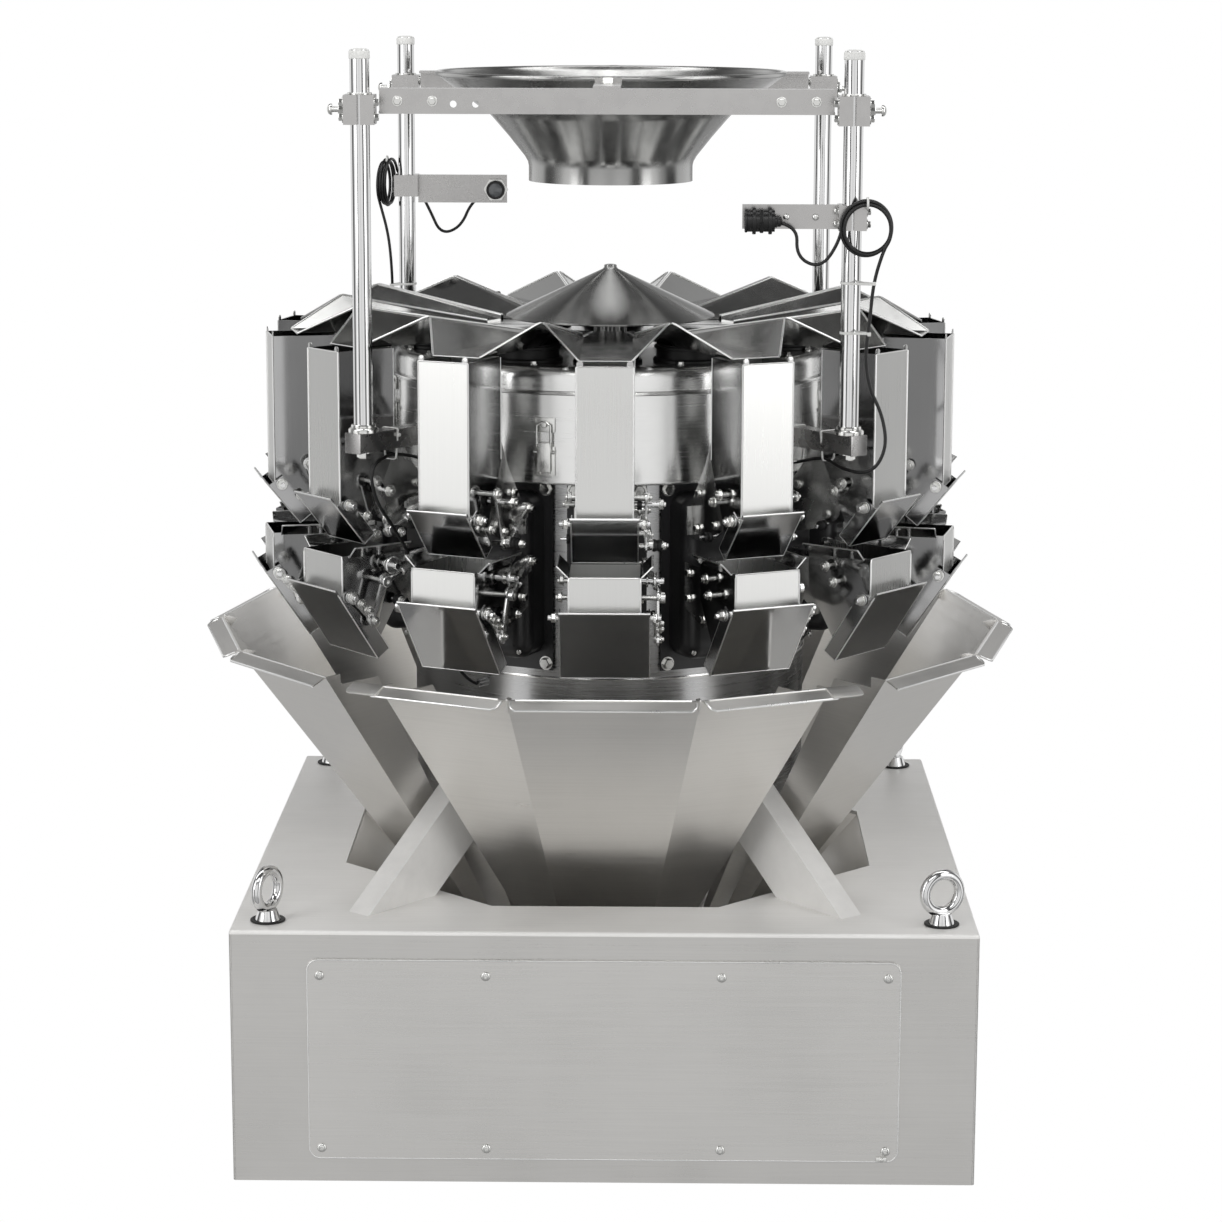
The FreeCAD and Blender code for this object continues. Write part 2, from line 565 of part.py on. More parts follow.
for n in range(1, 15):
    g = gate("feed_gate_%02d" % n, n, D("feed_pin_r"), D("feed_pin_z"), D("feed_beta"), D("feed_off"), D("feed_lip"), D("feed_len"), D("feed_gate_half"), D("feed_lip_half"))
    node("feed_gate_%02d" % n, g)
    g = gate("weigh_gate_%02d" % n, n, D("weigh_pin_r"), D("weigh_pin_z"), D("weigh_beta"), D("weigh_off"), D("weigh_lip"), D("weigh_len"), D("weigh_gate_half"), D("weigh_lip_half"))
    node("weigh_gate_%02d" % n, g)

# ---------------------------------------------------------------- discharge chutes
# A fourteen-sided inverted pyramid of sheet, parted into four groups by slots over the legs.
ZL, ZH, AL, AH = D("chute_z_low"), D("chute_z_high"), D("chute_a_low"), D("chute_a_high")
START = 90 + 180.0 / 14 * 1  # a corner half a pitch from the front
c_out = ngon_frustum("chute_outer", 14, AL, ZL, AH, ZH, START)
c_in = ngon_frustum("chute_inner", 14, AL - FT * 1.24, ZL - 0.01, AH - FT * 1.24, ZH + 0.01, START)
c_deep = ngon_frustum("chute_deep", 14, AL - D("cheek_low"), ZL - 0.02, AH - D("cheek_deep"), ZH + 0.02, START)
panels = cut("chute_panels", c_out, c_in)
band_full = cut("chute_band_full", c_out, c_deep)
# the cheeks stop short of the room that the weigh gates swing in
band = cut("chute_band", band_full, cylinder("gate_room", 0, 0, D("sweep_z"), D("sweep_r"), 60))
lips = new_body("chute_lips")
w = D("chute_a_high") * math.tan(math.pi / 14) - 5
sk = sketch(lips, "lip_profile", "YZ_Plane", [[(-(AH - 3.5), ZH), (-AH, ZH), (-(AH + D("lip_w")), ZH - D("lip_drop")), (-(AH + D("lip_w") - 0.8), ZH - D("lip_drop") - 2), (-(AH - 1.5), ZH - 2.2), (-(AH - 3.5), ZH - 2.2)]])
lp = pad(lips, sk, w * 2)
tips = []
for i, e in enumerate(lips.Shape.Edges, 1):
    b = e.BoundBox
    if b.XLength < 0.01 and abs(abs(b.XMin) - w.value) < 0.01 and b.YMax < -(G["chute_a_high"] + G["lip_w"]) + 1.5 and e.Length < 4:
        tips.append("Edge%d" % i)
lp2 = fillet(lips, "lip_tips", tips, 11)
polar(lips, [lp, lp2])


def group(name, centre, half_angle, gap):
    """Panels of the group with their lips, and a cheek along each of its two ends."""
    planes = []
    for s in (-1, 1):
        az = math.radians(centre + s * half_angle)
        radial = V(-math.sin(az), -math.cos(az), 0)
        mid = math.radians(centre)
        to_mid = V(-math.sin(mid), -math.cos(mid), 0)
        normal = V(math.cos(az), -math.sin(az), 0)
        if normal.dot(to_mid) < 0:
            normal = normal * -1
        planes.append((radial, normal))

    def slab(tag, start, deep):
        out = []
        for k, (radial, normal) in enumerate(planes):
            b = doc.addObject("Part::Box", "%s_%s_%d" % (name, tag, k))
            b.Length, b.Width, b.Height = 2400, deep, 1000
            along = normal.cross(V(0, 0, 1))
            rot = FreeCAD.Rotation(along, normal, V(0, 0, 1), "ZXY")
            b.Placement = FreeCAD.Placement(normal * start - along * 1200, rot)
            out.append(b)
        return out

    a, b = slab("space", gap, 1200)
    skin = common(name + "_skin", [panels, a, b])
    a2, b2 = slab("lipspace", gap + 3, 1200)
    rims = common(name + "_rims", [lips, a2, b2])
    cheeks = []
    for k, s in enumerate(slab("cheek", gap, 3)):
        other = (a, b)[1 - k]
        cheeks.append(common("%s_cheek_%d" % (name, k), [band, s, other]))
    return fuse(name, [skin, rims] + cheeks)


CG = G["leg_az"] * G["pitch"]
front_chute = group("front_chute", 0, CG, G["gap_front"])
rear_chute = group("rear_chute", 180, CG, G["gap_front"])
left_chute = group("left_chute", 90, 90 - CG, G["gap_side"])
right_chute = group("right_chute", -90, 90 - CG, G["gap_side"])
node("end_chutes", compound("end_chutes", [front_chute, rear_chute]))
node("side_chutes", compound("side_chutes", [left_chute, right_chute]))

# ---------------------------------------------------------------- feeder pans, drives and top cone
# One radial pan: a flat floor, two wings that rise to a ridge shared with the next pan, and a nose over the hopper's mouth.


def plate_solid(points, thick):
    pts = [V(*p) for p in points]
    face = Part.Face(Part.makePolygon(pts + [pts[0]]))
    nrm = face.normalAt(0, 0)
    if nrm.z < 0:
        nrm = nrm * -1
    return face.extrude(nrm * thick)


def pan_shape():
    g = G
    tan = math.tan(math.pi / 14)
    z, half, t = g["pan_z"], g["pan_half"], g["sheet_t"]
    ri, ro = g["pan_r_in"], g["pan_r_out"]
    r1, z1, r2, z2 = g["ridge_r_in"], g["ridge_z_in"], g["ridge_r_out"], g["ridge_z_out"]
    gap = g["ridge_gap"]
    w1, w2 = r1 * tan - gap, r2 * tan - gap
    hi = min(half, ri * tan - gap - 1)
    floor = plate_solid([(-hi, -ri, z), (hi, -ri, z), (half, -r1, z), (half, -ro, z), (-half, -ro, z), (-half, -r1, z)], t)
    solids = [floor]
    for s in (-1, 1):
        wing = plate_solid([(s * half, -r1, z), (s * w1, -r1, z1), (s * w2, -r2, z2)], t)
        wing2 = plate_solid([(s * half, -r1, z), (s * w2, -r2, z2), (s * half, -r2, z)], t)
        nose = plate_solid([(s * half, -r2, z), (s * w2, -r2, z2), (s * half, -ro, z)], t)
        solids += [wing, wing2, nose]
    out = solids[0].multiFuse(solids[1:])
    return out.removeSplitter()


pan = doc.addObject("Part::Feature", "pan")
pan.Shape = pan_shape()
doc.recompute()
print("pan solids", len(pan.Shape.Solids), "valid", pan.Shape.isValid())
node("feeder_pans", ring_of("feeder_pans", pan, [around(i) for i in range(14)]))
drive = new_body("feeder_drive")
sk = sketch(drive, "drive_round", "XY_Plane", [], [(0, -D("drive_r"), D("drive_radius"))], offset=D("deck_ring_z"))
pad(drive, sk, D("pan_z") - D("deck_ring_z"), midplane=False)
node("feeder_drives", ring_of("feeder_drives", drive, [around(i) for i in range(14)]))

cone = new_body("top_cone")
CT = D("cone_t")
sk = sketch(cone, "cone_profile", "XZ_Plane", [[(0, D("deck_ring_z")), (26, D("deck_ring_z")), (26, D("cone_z_high") - 19), (D("cone_r"), D("cone_z_low")), (D("cone_r"), D("cone_z_low") + CT * 1.2), (8, D("cone_z_high") - 2), (8, D("cone_z_high") + 4), (0, D("cone_z_high") + 4)]])
revolve(cone, sk)
node("top_cone", cone)

fun = new_body("infeed_funnel")
U = D("fun_t")
sk = sketch(fun, "funnel_profile", "XZ_Plane", [[
    (D("fun_out_r"), D("fun_out_z")), (D("fun_out_r"), D("fun_neck_z") - 14), (D("fun_neck_r"), D("fun_neck_z")), (D("fun_mid_r") - 30, D("fun_mid_z") - 34),
    (D("fun_mid_r"), D("fun_mid_z")), (D("fun_rim_r") - 5, D("fun_rim_z") - 4), (D("fun_rim_r"), D("fun_rim_z") - 3), (D("fun_rim_r"), D("fun_rim_z")),
    (D("fun_rim_r") - 7, D("fun_rim_z")), (D("fun_mid_r") - U, D("fun_mid_z") + U * 0.8), (D("fun_mid_r") - 30 - U * 1.1, D("fun_mid_z") - 34 + U * 0.6), (D("fun_neck_r") - U, D("fun_neck_z") + U * 0.4),
    (D("fun_out_r") - U, D("fun_neck_z") - 14), (D("fun_out_r") - U, D("fun_out_z"))]])
revolve(fun, sk)
node("infeed_funnel", fun)

# ---------------------------------------------------------------- posts, arms, beams, clamps
POST = [FreeCAD.Placement(V(0, 0, 0), FreeCAD.Rotation(V(0, 0, 1), -a)) for a in LEG_AZ]
arm = new_body("post_arm")
sk = sketch(arm, "arm_section", "XZ_Plane", [[(-D("arm_half"), D("arm_z_low")), (D("arm_half"), D("arm_z_low")), (D("arm_half"), D("post_z_low")), (-D("arm_half"), D("post_z_low"))]], offset=D("arm_r_in"))
pad(arm, sk, D("arm_r_out") - D("arm_r_in"), midplane=False)
arms_raw = ring_of("post_arms", arm, POST)
node("post_arms", arms_raw)
post = cylinder("post", 0, -D("post_ring"), D("post_z_low"), D("post_radius"), D("post_z_high") - D("post_z_low"))
posts = ring_of("posts", post, POST)
node("posts", posts)

xs = [(-1, -1), (1, -1), (-1, 1), (1, 1)]
az = math.radians(LEG_AZ[0])
px, py = G["post_ring"] * math.sin(az), G["post_ring"] * math.cos(az)
clamps = []
for sx, sy in xs:
    tag = "%s_%s" % ("left" if sx < 0 else "right", "front" if sy < 0 else "rear")
    blk = box("clamp_block_" + tag, sx * px - G["clamp_x"], sy * py - G["clamp_y"], D("clamp_z_low"), D("clamp_x") * 2, D("clamp_y") * 2, D("clamp_z_high") - D("clamp_z_low"))
    hole = cylinder("clamp_bore_" + tag, sx * px, sy * py, D("clamp_z_low") - 1, D("post_radius"), D("clamp_z_high") - D("clamp_z_low") + 2)
    slit = box("clamp_slit_" + tag, sx * px - G["clamp_slit"] / 2, sy * py if sy > 0 else sy * py - G["clamp_y"] - 1, D("clamp_z_low") - 1, D("clamp_slit"), D("clamp_y") + 1, D("clamp_z_high") - D("clamp_z_low") + 2)
    clamps.append(cut("clamp_" + tag, blk, fuse("clamp_space_" + tag, [hole, slit])))

beams = []
for s in (-1, 1):
    tag = "front" if s < 0 else "rear"
    body = new_body("beam_" + tag)
    Y = D("beam_y")
    t = D("beam_t")
    sk = sketch(body, "beam_section_" + tag, "YZ_Plane", [[(s * Y, D("beam_z_low")), (s * Y, D("beam_z_high")), (s * (Y - D("beam_leg")), D("beam_z_high")), (s * (Y - D("beam_leg")), D("beam_z_high") - t), (s * (Y - t), D("beam_z_high") - t), (s * (Y - t), D("beam_z_low"))]])
    pad(body, sk, D("beam_half") * 2)
    # the arm out to the funnel's rim
    sk = sketch(body, "beam_tab_" + tag, "XY_Plane", [[(-20, s * (Y - 2)), (20, s * (Y - 2)), (20, s * (D("fun_rim_r") + 0.2)), (-20, s * (D("fun_rim_r") + 0.2))]], offset=D("beam_z_high"))
    pad(body, sk, 4, midplane=False)
    sk = sketch(body, "beam_ear_" + tag, "XY_Plane", [[(-20, s * (D("fun_rim_r") + 0.2)), (20, s * (D("fun_rim_r") + 0.2)), (20, s * (D("fun_rim_r") + 4)), (-20, s * (D("fun_rim_r") + 4))]], offset=D("beam_z_high"))
    pad(body, sk, 11, midplane=False)
    if s < 0:
        sk = sketch(body, "beam_holes", "XZ_Plane", [], [(-220, 1578, 5), (-188, 1578, 5)])
        pocket(body, sk, 1100)
    beams.append(body)
node("funnel_beams", compound("funnel_beams", beams + clamps))

# ---------------------------------------------------------------- sensors and their brackets


def post_block(tag, sx, sy, z0, z1):
    """The split block that clamps a bracket to its post."""
    blk = box("bracket_block_" + tag, sx * px - 20, sy * py - 23, z0, 40, 46, z1 - z0)
    hole = cylinder("bracket_bore_" + tag, sx * px, sy * py, z0 - 1, D("post_radius"), z1 - z0 + 2)
    slit = box("bracket_slit_" + tag, sx * px - 2, sy * py if sy > 0 else sy * py - 24, z0 - 1, 4, 24, z1 - z0 + 2)
    return cut("bracket_clamp_" + tag, blk, fuse("bracket_space_" + tag, [hole, slit]))


right_bar = box("right_bracket_bar", 195, -442, 1403, px - 20 - 195 + 0.5, 4, 35)
right_bracket = fuse("right_bracket", [right_bar, post_block("right", 1, -1, 1402, 1438)])
left_bar = box("left_bracket_bar", -px + 20 - 0.5, 438, 1378, px - 20 - 182 + 0.5, 4, 47)
left_plate = cut("left_bracket_plate", left_bar, cylinder("left_sensor_seat", -201, 430, 1400, 15, 20, V(0, 1, 0)))
left_bracket = fuse("left_bracket", [left_plate, post_block("left", -1, 1, 1389, 1425)])
node("sensor_brackets", compound("sensor_brackets", [right_bracket, left_bracket]))
right_sensor = cylinder("right_sensor", 202, -457.5, 1415.5, 15.5, 39, V(1, 0, 0))
left_body = cylinder("left_sensor_body", -201, 424, 1400, 15, 48, V(0, 1, 0))
left_tail = cylinder("left_sensor_tail", -201, 470, 1400, 6, 8, V(0, 1, 0))
node("sensors", compound("sensors", [right_sensor, fuse("left_sensor", [left_body, left_tail])]))

# ---------------------------------------------------------------- cords


def cord_route(name, pts, d):
    """A round cord along straight runs joined by tangent arcs."""
    P = [V(*p) for p in pts]
    runs = [(P[i + 1] - P[i]).Length for i in range(len(P) - 1)]
    edges, here, radii = [], P[0], []
    for i in range(1, len(P) - 1):
        u = (P[i] - P[i - 1]).normalize()
        w = (P[i + 1] - P[i]).normalize()
        turn = u.getAngle(w)
        back = 0.45 * min(runs[i - 1], runs[i])
        radii.append(back / math.tan(turn / 2))
        a, b = P[i] - u * back, P[i] + w * back
        bis = (w - u).normalize()
        centre = P[i] + bis * (radii[-1] / math.cos(turn / 2))
        mid = centre - bis * radii[-1]
        edges.append(Part.LineSegment(here, a).toShape())
        edges.append(Part.Arc(a, mid, b).toShape())
        here = b
    edges.append(Part.LineSegment(here, P[-1]).toShape())
    wire = Part.Wire(edges)
    start = (P[1] - P[0]).normalize()
    profile = Part.Wire([Part.Circle(P[0], start, d / 2).toShape()])
    tube = wire.makePipeShell([profile], True, True)
    length = wire.Length
    want = length * math.pi * d * d / 4
    turns = [math.degrees((P[i] - P[i - 1]).getAngle(P[i + 1] - P[i])) for i in range(1, len(P) - 1)]
    print("%-18s length %.0f mm, radii %s, turns %s, longest run %.0f, volume %.3f of %.3f cm3" % (
        name, length, [round(r) for r in radii], [round(t) for t in turns], max(runs), tube.Volume / 1000, want / 1000))
    if min(radii) < 3 * d or abs(tube.Volume / want - 1) > 0.02:
        raise RuntimeError("%s: a bend is too tight or the tube is torn" % name)
    f = doc.addObject("Part::Feature", name)
    f.Shape = Part.Solid(tube) if tube.ShapeType != "Solid" else tube
    f.Label = name
    return f


RIGHT_LOOP = [(241, -457.5, 1414), (274, -458, 1410), (272, -460, 1364), (308, -463, 1348), (334, -467, 1388), (342, -471, 1424)]
RIGHT_TAIL = [(388, -474, 1380), (382, -476, 1330), (378, -475, 1278), (372, -474, 1226), (378, -475, 1180), (399, -479, 1138), (405, -488, 1092), (384, -487, 1055), (346, -446, 1054),
              (319, -402, 1068), (286, -359, 1054), (252, -316, 1041), (226.94, -284.57, 1040)]
LEFT_LOOP = [(-201, 478, 1400), (-204, 512, 1398), (-246, 516, 1376), (-264, 500, 1332), (-298, 486, 1320), (-316, 480, 1362), (-338, 482, 1404), (-372, 484, 1420)]
LEFT_TAIL = [(-388, 436, 1378), (-384, 432, 1326), (-379, 434, 1274), (-378, 440, 1222), (-382, 447, 1176), (-396, 456, 1132), (-400, 468, 1088), (-380, 480, 1054), (-345, 444, 1054),
             (-319, 402, 1068), (-286, 359, 1054), (-252, 316, 1041), (-226.94, 284.57, 1040)]
ARM_CABLE = [(-226.94, -284.57, 1040), (-253, -316, 1042), (-286, -358, 1060), (-320, -402, 1070), (-345, -434, 1052), (-338, -424, 1003), (-314, -392, 958), (-290, -362, 905),
             (-270, -337, 850), (-252, -314, 795), (-234, -291, 742), (-217, -272, 704), (-200.43, -251.34, 692)]
CORD = G["cord_d"]
node("right_cord_loop", cord_route("right_cord_loop", RIGHT_LOOP, CORD))
node("right_cord_tail", cord_route("right_cord_tail", RIGHT_TAIL, CORD))
node("left_cord_loop", cord_route("left_cord_loop", LEFT_LOOP, CORD))
node("left_cord_tail", cord_route("left_cord_tail", LEFT_TAIL, CORD))
node("arm_cable", cord_route("arm_cable", ARM_CABLE, CORD))


def coil(name, centre, axis):
    t = doc.addObject("Part::Torus", name)
    t.Radius1, t.Radius2 = 36, 7
    t.Placement = FreeCAD.Placement(V(*centre), FreeCAD.Rotation(V(0, 0, 1), V(*axis)))
    t.Label = name
    return t


node("right_cord_coil", coil("right_cord_coil", (372, -476, 1406), (0.05, 1, 0.03)))
node("left_cord_coil", coil("left_cord_coil", (-386, 450, 1411), (1, -0.22, 0.05)))

# ---------------------------------------------------------------- write the pieces
doc.recompute()
bad = [o.Name for o in doc.Objects if any(s in ("Invalid", "Error") for s in o.State)]
if bad:
    raise RuntimeError("failed objects: %s" % bad)
for f in os.listdir("parts"):
    if f.endswith(".step"):
        os.remove(os.path.join("parts", f))
for name in sorted(NODES):
    shape = Part.getShape(NODES[name])
    if shape.isNull() or not shape.isValid():
        raise RuntimeError("%s: null or invalid" % name)
    solids = shape.Solids
    if not solids:
        raise RuntimeError("%s has no solid" % name)
    out = solids[0] if len(solids) == 1 else Part.makeCompound(solids)
    out.exportStep("parts/%s.step" % name)
    bb = out.BoundBox
    print("%-20s %3d solids %10.1f cm3  x %7.1f..%7.1f  y %7.1f..%7.1f  z %7.1f..%7.1f" % (name, len(solids), out.Volume / 1000, bb.XMin, bb.XMax, bb.YMin, bb.YMax, bb.ZMin, bb.ZMax))
print(len(NODES), "nodes")
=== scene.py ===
import bpy, bmesh, math
import numpy as np
from mathutils import Vector, Matrix


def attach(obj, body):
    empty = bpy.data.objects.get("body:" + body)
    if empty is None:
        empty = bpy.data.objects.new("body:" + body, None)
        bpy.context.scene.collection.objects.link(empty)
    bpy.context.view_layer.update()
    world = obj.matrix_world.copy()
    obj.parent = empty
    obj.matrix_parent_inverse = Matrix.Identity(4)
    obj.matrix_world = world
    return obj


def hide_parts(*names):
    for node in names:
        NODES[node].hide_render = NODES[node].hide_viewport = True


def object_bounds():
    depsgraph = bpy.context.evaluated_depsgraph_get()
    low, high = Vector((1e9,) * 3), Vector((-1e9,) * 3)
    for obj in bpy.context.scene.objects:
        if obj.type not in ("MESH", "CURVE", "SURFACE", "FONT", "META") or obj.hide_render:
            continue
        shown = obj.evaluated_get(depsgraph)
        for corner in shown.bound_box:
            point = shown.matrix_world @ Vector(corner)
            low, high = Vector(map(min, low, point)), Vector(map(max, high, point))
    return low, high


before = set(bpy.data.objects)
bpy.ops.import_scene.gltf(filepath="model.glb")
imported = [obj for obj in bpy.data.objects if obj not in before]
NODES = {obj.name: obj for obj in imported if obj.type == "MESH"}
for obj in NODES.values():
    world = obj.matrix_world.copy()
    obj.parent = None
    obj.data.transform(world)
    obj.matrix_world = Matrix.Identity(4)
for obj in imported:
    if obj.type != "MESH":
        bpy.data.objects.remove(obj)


def corners(b):
    try:
        return [list(map(float, b[0])), list(map(float, b[1]))]
    except Exception:
        return [[float(x) for x in v] for v in b]


CAD_BOX = corners(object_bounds())

# ------------------------------------------------------------------ camera
scene = bpy.context.scene
yaw, down, roll = math.radians(-0.771021), math.radians(10.986116), math.radians(0.138755)
fwd = Vector((math.sin(yaw) * math.cos(down), math.cos(yaw) * math.cos(down), -math.sin(down)))
right = Vector((math.cos(yaw), -math.sin(yaw), 0.0))
up = right.cross(fwd)
r2 = right * math.cos(roll) + up * math.sin(roll)
u2 = -right * math.sin(roll) + up * math.cos(roll)
cam_data = bpy.data.cameras.new("camera")
cam_data.sensor_width = 36.0
cam_data.lens = 97.6975
cam = bpy.data.objects.new("camera", cam_data)
scene.collection.objects.link(cam)
m = Matrix((
    (r2.x, u2.x, -fwd.x, 0.07238806),
    (r2.y, u2.y, -fwd.y, -5.21980691),
    (r2.z, u2.z, -fwd.z, 1.77097166),
    (0, 0, 0, 1)))
cam.matrix_world = m
cam_data.clip_end = 60
scene.camera = cam

MM = 0.001
PITCH = 2 * math.pi / 14

# ------------------------------------------------------------------ materials


class Graph:
    """A short way to write a material's nodes."""

    def __init__(self, name):
        self.mat = bpy.data.materials.new(name)
        self.mat.use_nodes = True
        self.nt = self.mat.node_tree
        self.nt.nodes.clear()
        self.out = self.nt.nodes.new("ShaderNodeOutputMaterial")
        self.bsdf = self.nt.nodes.new("ShaderNodeBsdfPrincipled")
        self.link(self.bsdf.outputs[0], self.out.inputs[0])
        self.coord = self.nt.nodes.new("ShaderNodeTexCoord")

    def node(self, kind, **values):
        n = self.nt.nodes.new(kind)
        for k, v in values.items():
            setattr(n, k, v)
        return n

    def link(self, a, b):
        self.nt.links.new(a, b)

    def noise(self, scale, stretch=(1, 1, 1), detail=4.0, rough=0.55, turn=(0, 0, 0)):
        mp = self.node("ShaderNodeMapping")
        mp.inputs["Scale"].default_value = stretch
        mp.inputs["Rotation"].default_value = turn
        self.link(self.coord.outputs["Object"], mp.inputs["Vector"])
        nz = self.node("ShaderNodeTexNoise")
        nz.inputs["Scale"].default_value = scale
        nz.inputs["Detail"].default_value = detail
        nz.inputs["Roughness"].default_value = rough
        self.link(mp.outputs[0], nz.inputs["Vector"])
        return nz.outputs["Fac"]

    def ramp(self, fac, stops):
        r = self.node("ShaderNodeValToRGB")
        e = r.color_ramp.elements
        while len(e) > 1:
            e.remove(e[-1])
        for i, (p, c) in enumerate(stops):
            if not isinstance(c, (tuple, list)):
                c = (c, c, c)
            el = e[0] if i == 0 else e.new(p)
            el.position = p
            el.color = (c[0], c[1], c[2], 1)
        self.link(fac, r.inputs[0])
        return r.outputs[0]

    def span(self, fac, lo, hi, a=0.3, b=0.7):
        r = self.node("ShaderNodeMapRange")
        r.inputs["From Min"].default_value = a
        r.inputs["From Max"].default_value = b
        r.inputs["To Min"].default_value = lo
        r.inputs["To Max"].default_value = hi
        self.link(fac, r.inputs["Value"])
        return r.outputs[0]

    def add(self, a, b, op="ADD"):
        n = self.node("ShaderNodeMath", operation=op)
        for i, v in enumerate((a, b)):
            if isinstance(v, (int, float)):
                n.inputs[i].default_value = v
            else:
                self.link(v, n.inputs[i])
        return n.outputs[0]

    def bump(self, height, strength, distance=0.0004):
        b = self.node("ShaderNodeBump")
        b.inputs["Strength"].default_value = strength
        b.inputs["Distance"].default_value = distance
        self.link(height, b.inputs["Height"])
        self.link(b.outputs[0], self.bsdf.inputs["Normal"])


def lin(c):
    return tuple((v / 12.92 if v <= 0.04045 else ((v + 0.055) / 1.055) ** 2.4) for v in c)


def shade(c, k):
    return tuple(min(1.0, v * k) for v in c)


BRUSH = {"up": (420, 420, 6.0), "level": (6.0, 6.0, 420), "along_x": (6.0, 420, 420), "along_y": (420, 6.0, 420), "none": (40, 40, 40)}


def steel(name, colour, rough, brush="none", bump=0.05, vary=0.07, cloud=0.05, rough_vary=0.05, metallic=1.0, smudge=0.02, spun=0.0):
    g = Graph(name)
    c = lin(colour)
    lines = g.noise(1.0, BRUSH[brush], 5.0, 0.62)
    wide = g.noise(5.5, (1, 1, 1), 3.0, 0.5)
    mixed = g.add(g.span(lines, -vary, vary), g.span(wide, -cloud, cloud))
    level = g.add(mixed, 0.5)
    col = g.ramp(level, [(0.3, shade(c, 0.78)), (0.5, c), (0.7, shade(c, 1.16))])
    g.link(col, g.bsdf.inputs["Base Color"])
    g.bsdf.inputs["Metallic"].default_value = metallic
    spots = g.noise(38.0, (1, 1, 1), 3.0, 0.6)
    r = g.add(g.add(g.span(lines, rough - rough_vary, rough + rough_vary), g.span(wide, -0.03, 0.05)), g.span(spots, -smudge * 0.5, smudge))
    g.link(r, g.bsdf.inputs["Roughness"])
    g.bump(g.add(lines, g.add(wide, 0.3, "MULTIPLY")), bump, 0.0003)
    if spun:
        t = g.node("ShaderNodeTangent", direction_type="RADIAL", axis="Z")
        g.link(t.outputs[0], g.bsdf.inputs["Tangent"])
        g.bsdf.inputs["Anisotropic"].default_value = spun
        g.bsdf.inputs["Anisotropic Rotation"].default_value = 0.25
    return g.mat


def two_faced(name, front, side, rough_front, rough_side):
    """Brushed on the wall that faces out of the ring, polished on the others."""
    g = Graph(name)
    cf, cs = lin(front), lin(side)
    geo = g.node("ShaderNodeNewGeometry")
    flat = g.node("ShaderNodeVectorMath", operation="MULTIPLY")
    flat.inputs[1].default_value = (1, 1, 0)
    g.link(geo.outputs["Position"], flat.inputs[0])
    unit = g.node("ShaderNodeVectorMath", operation="NORMALIZE")
    g.link(flat.outputs[0], unit.inputs[0])
    dot = g.node("ShaderNodeVectorMath", operation="DOT_PRODUCT")
    g.link(unit.outputs[0], dot.inputs[0])
    g.link(geo.outputs["Normal"], dot.inputs[1])
    mask = g.span(dot.outputs["Value"], 0.0, 1.0, 0.55, 0.85)
    lines = g.noise(1.0, (420, 420, 4.0), 4.0, 0.6)
    wide = g.noise(4.5, (1, 1, 1), 3.0, 0.5)
    smear = g.noise(16.0, (1, 1, 0.35), 3.0, 0.55)
    level = g.add(g.add(g.span(lines, -0.03, 0.03), g.span(wide, -0.04, 0.04)), 0.5)
    a = g.ramp(level, [(0.3, shade(cs, 0.8)), (0.5, cs), (0.7, shade(cs, 1.15))])
    b = g.ramp(level, [(0.3, shade(cf, 0.88)), (0.5, cf), (0.7, shade(cf, 1.10))])
    mix = g.node("ShaderNodeMix", data_type="RGBA")
    g.link(mask, mix.inputs[0])
    g.link(a, mix.inputs[6])
    g.link(b, mix.inputs[7])
    g.link(mix.outputs[2], g.bsdf.inputs["Base Color"])
    g.bsdf.inputs["Metallic"].default_value = 1.0
    rm = g.node("ShaderNodeMix", data_type="FLOAT")
    g.link(mask, rm.inputs[0])
    g.link(g.add(g.span(smear, rough_side - 0.03, rough_side + 0.05), g.span(wide, -0.02, 0.03)), rm.inputs[2])
    g.link(g.add(g.span(lines, rough_front - 0.03, rough_front + 0.03), g.span(wide, -0.03, 0.04)), rm.inputs[3])
    g.link(rm.outputs[0], g.bsdf.inputs["Roughness"])
    g.bump(g.add(g.add(lines, mask, "MULTIPLY"), g.add(wide, 0.3, "MULTIPLY")), 0.03, 0.0003)
    return g.mat


def plastic(name, colour, rough, metallic=0.0, bump=0.08, scale=420.0, coat=0.0):
    g = Graph(name)
    c = lin(colour)
    fine = g.noise(scale, (1, 1, 1), 3.0, 0.6)
    wide = g.noise(9.0, (1, 1, 1), 3.0, 0.5)
    col = g.ramp(g.add(g.add(g.span(fine, -0.08, 0.08), g.span(wide, -0.1, 0.1)), 0.5), [(0.3, shade(c, 0.8)), (0.5, c), (0.7, shade(c, 1.25))])
    g.link(col, g.bsdf.inputs["Base Color"])
    g.bsdf.inputs["Metallic"].default_value = metallic
    g.bsdf.inputs["Coat Weight"].default_value = coat
    g.link(g.add(g.span(fine, rough - 0.05, rough + 0.05), g.span(wide, -0.05, 0.06)), g.bsdf.inputs["Roughness"])
    g.bump(fine, bump, 0.0002)
    return g.mat


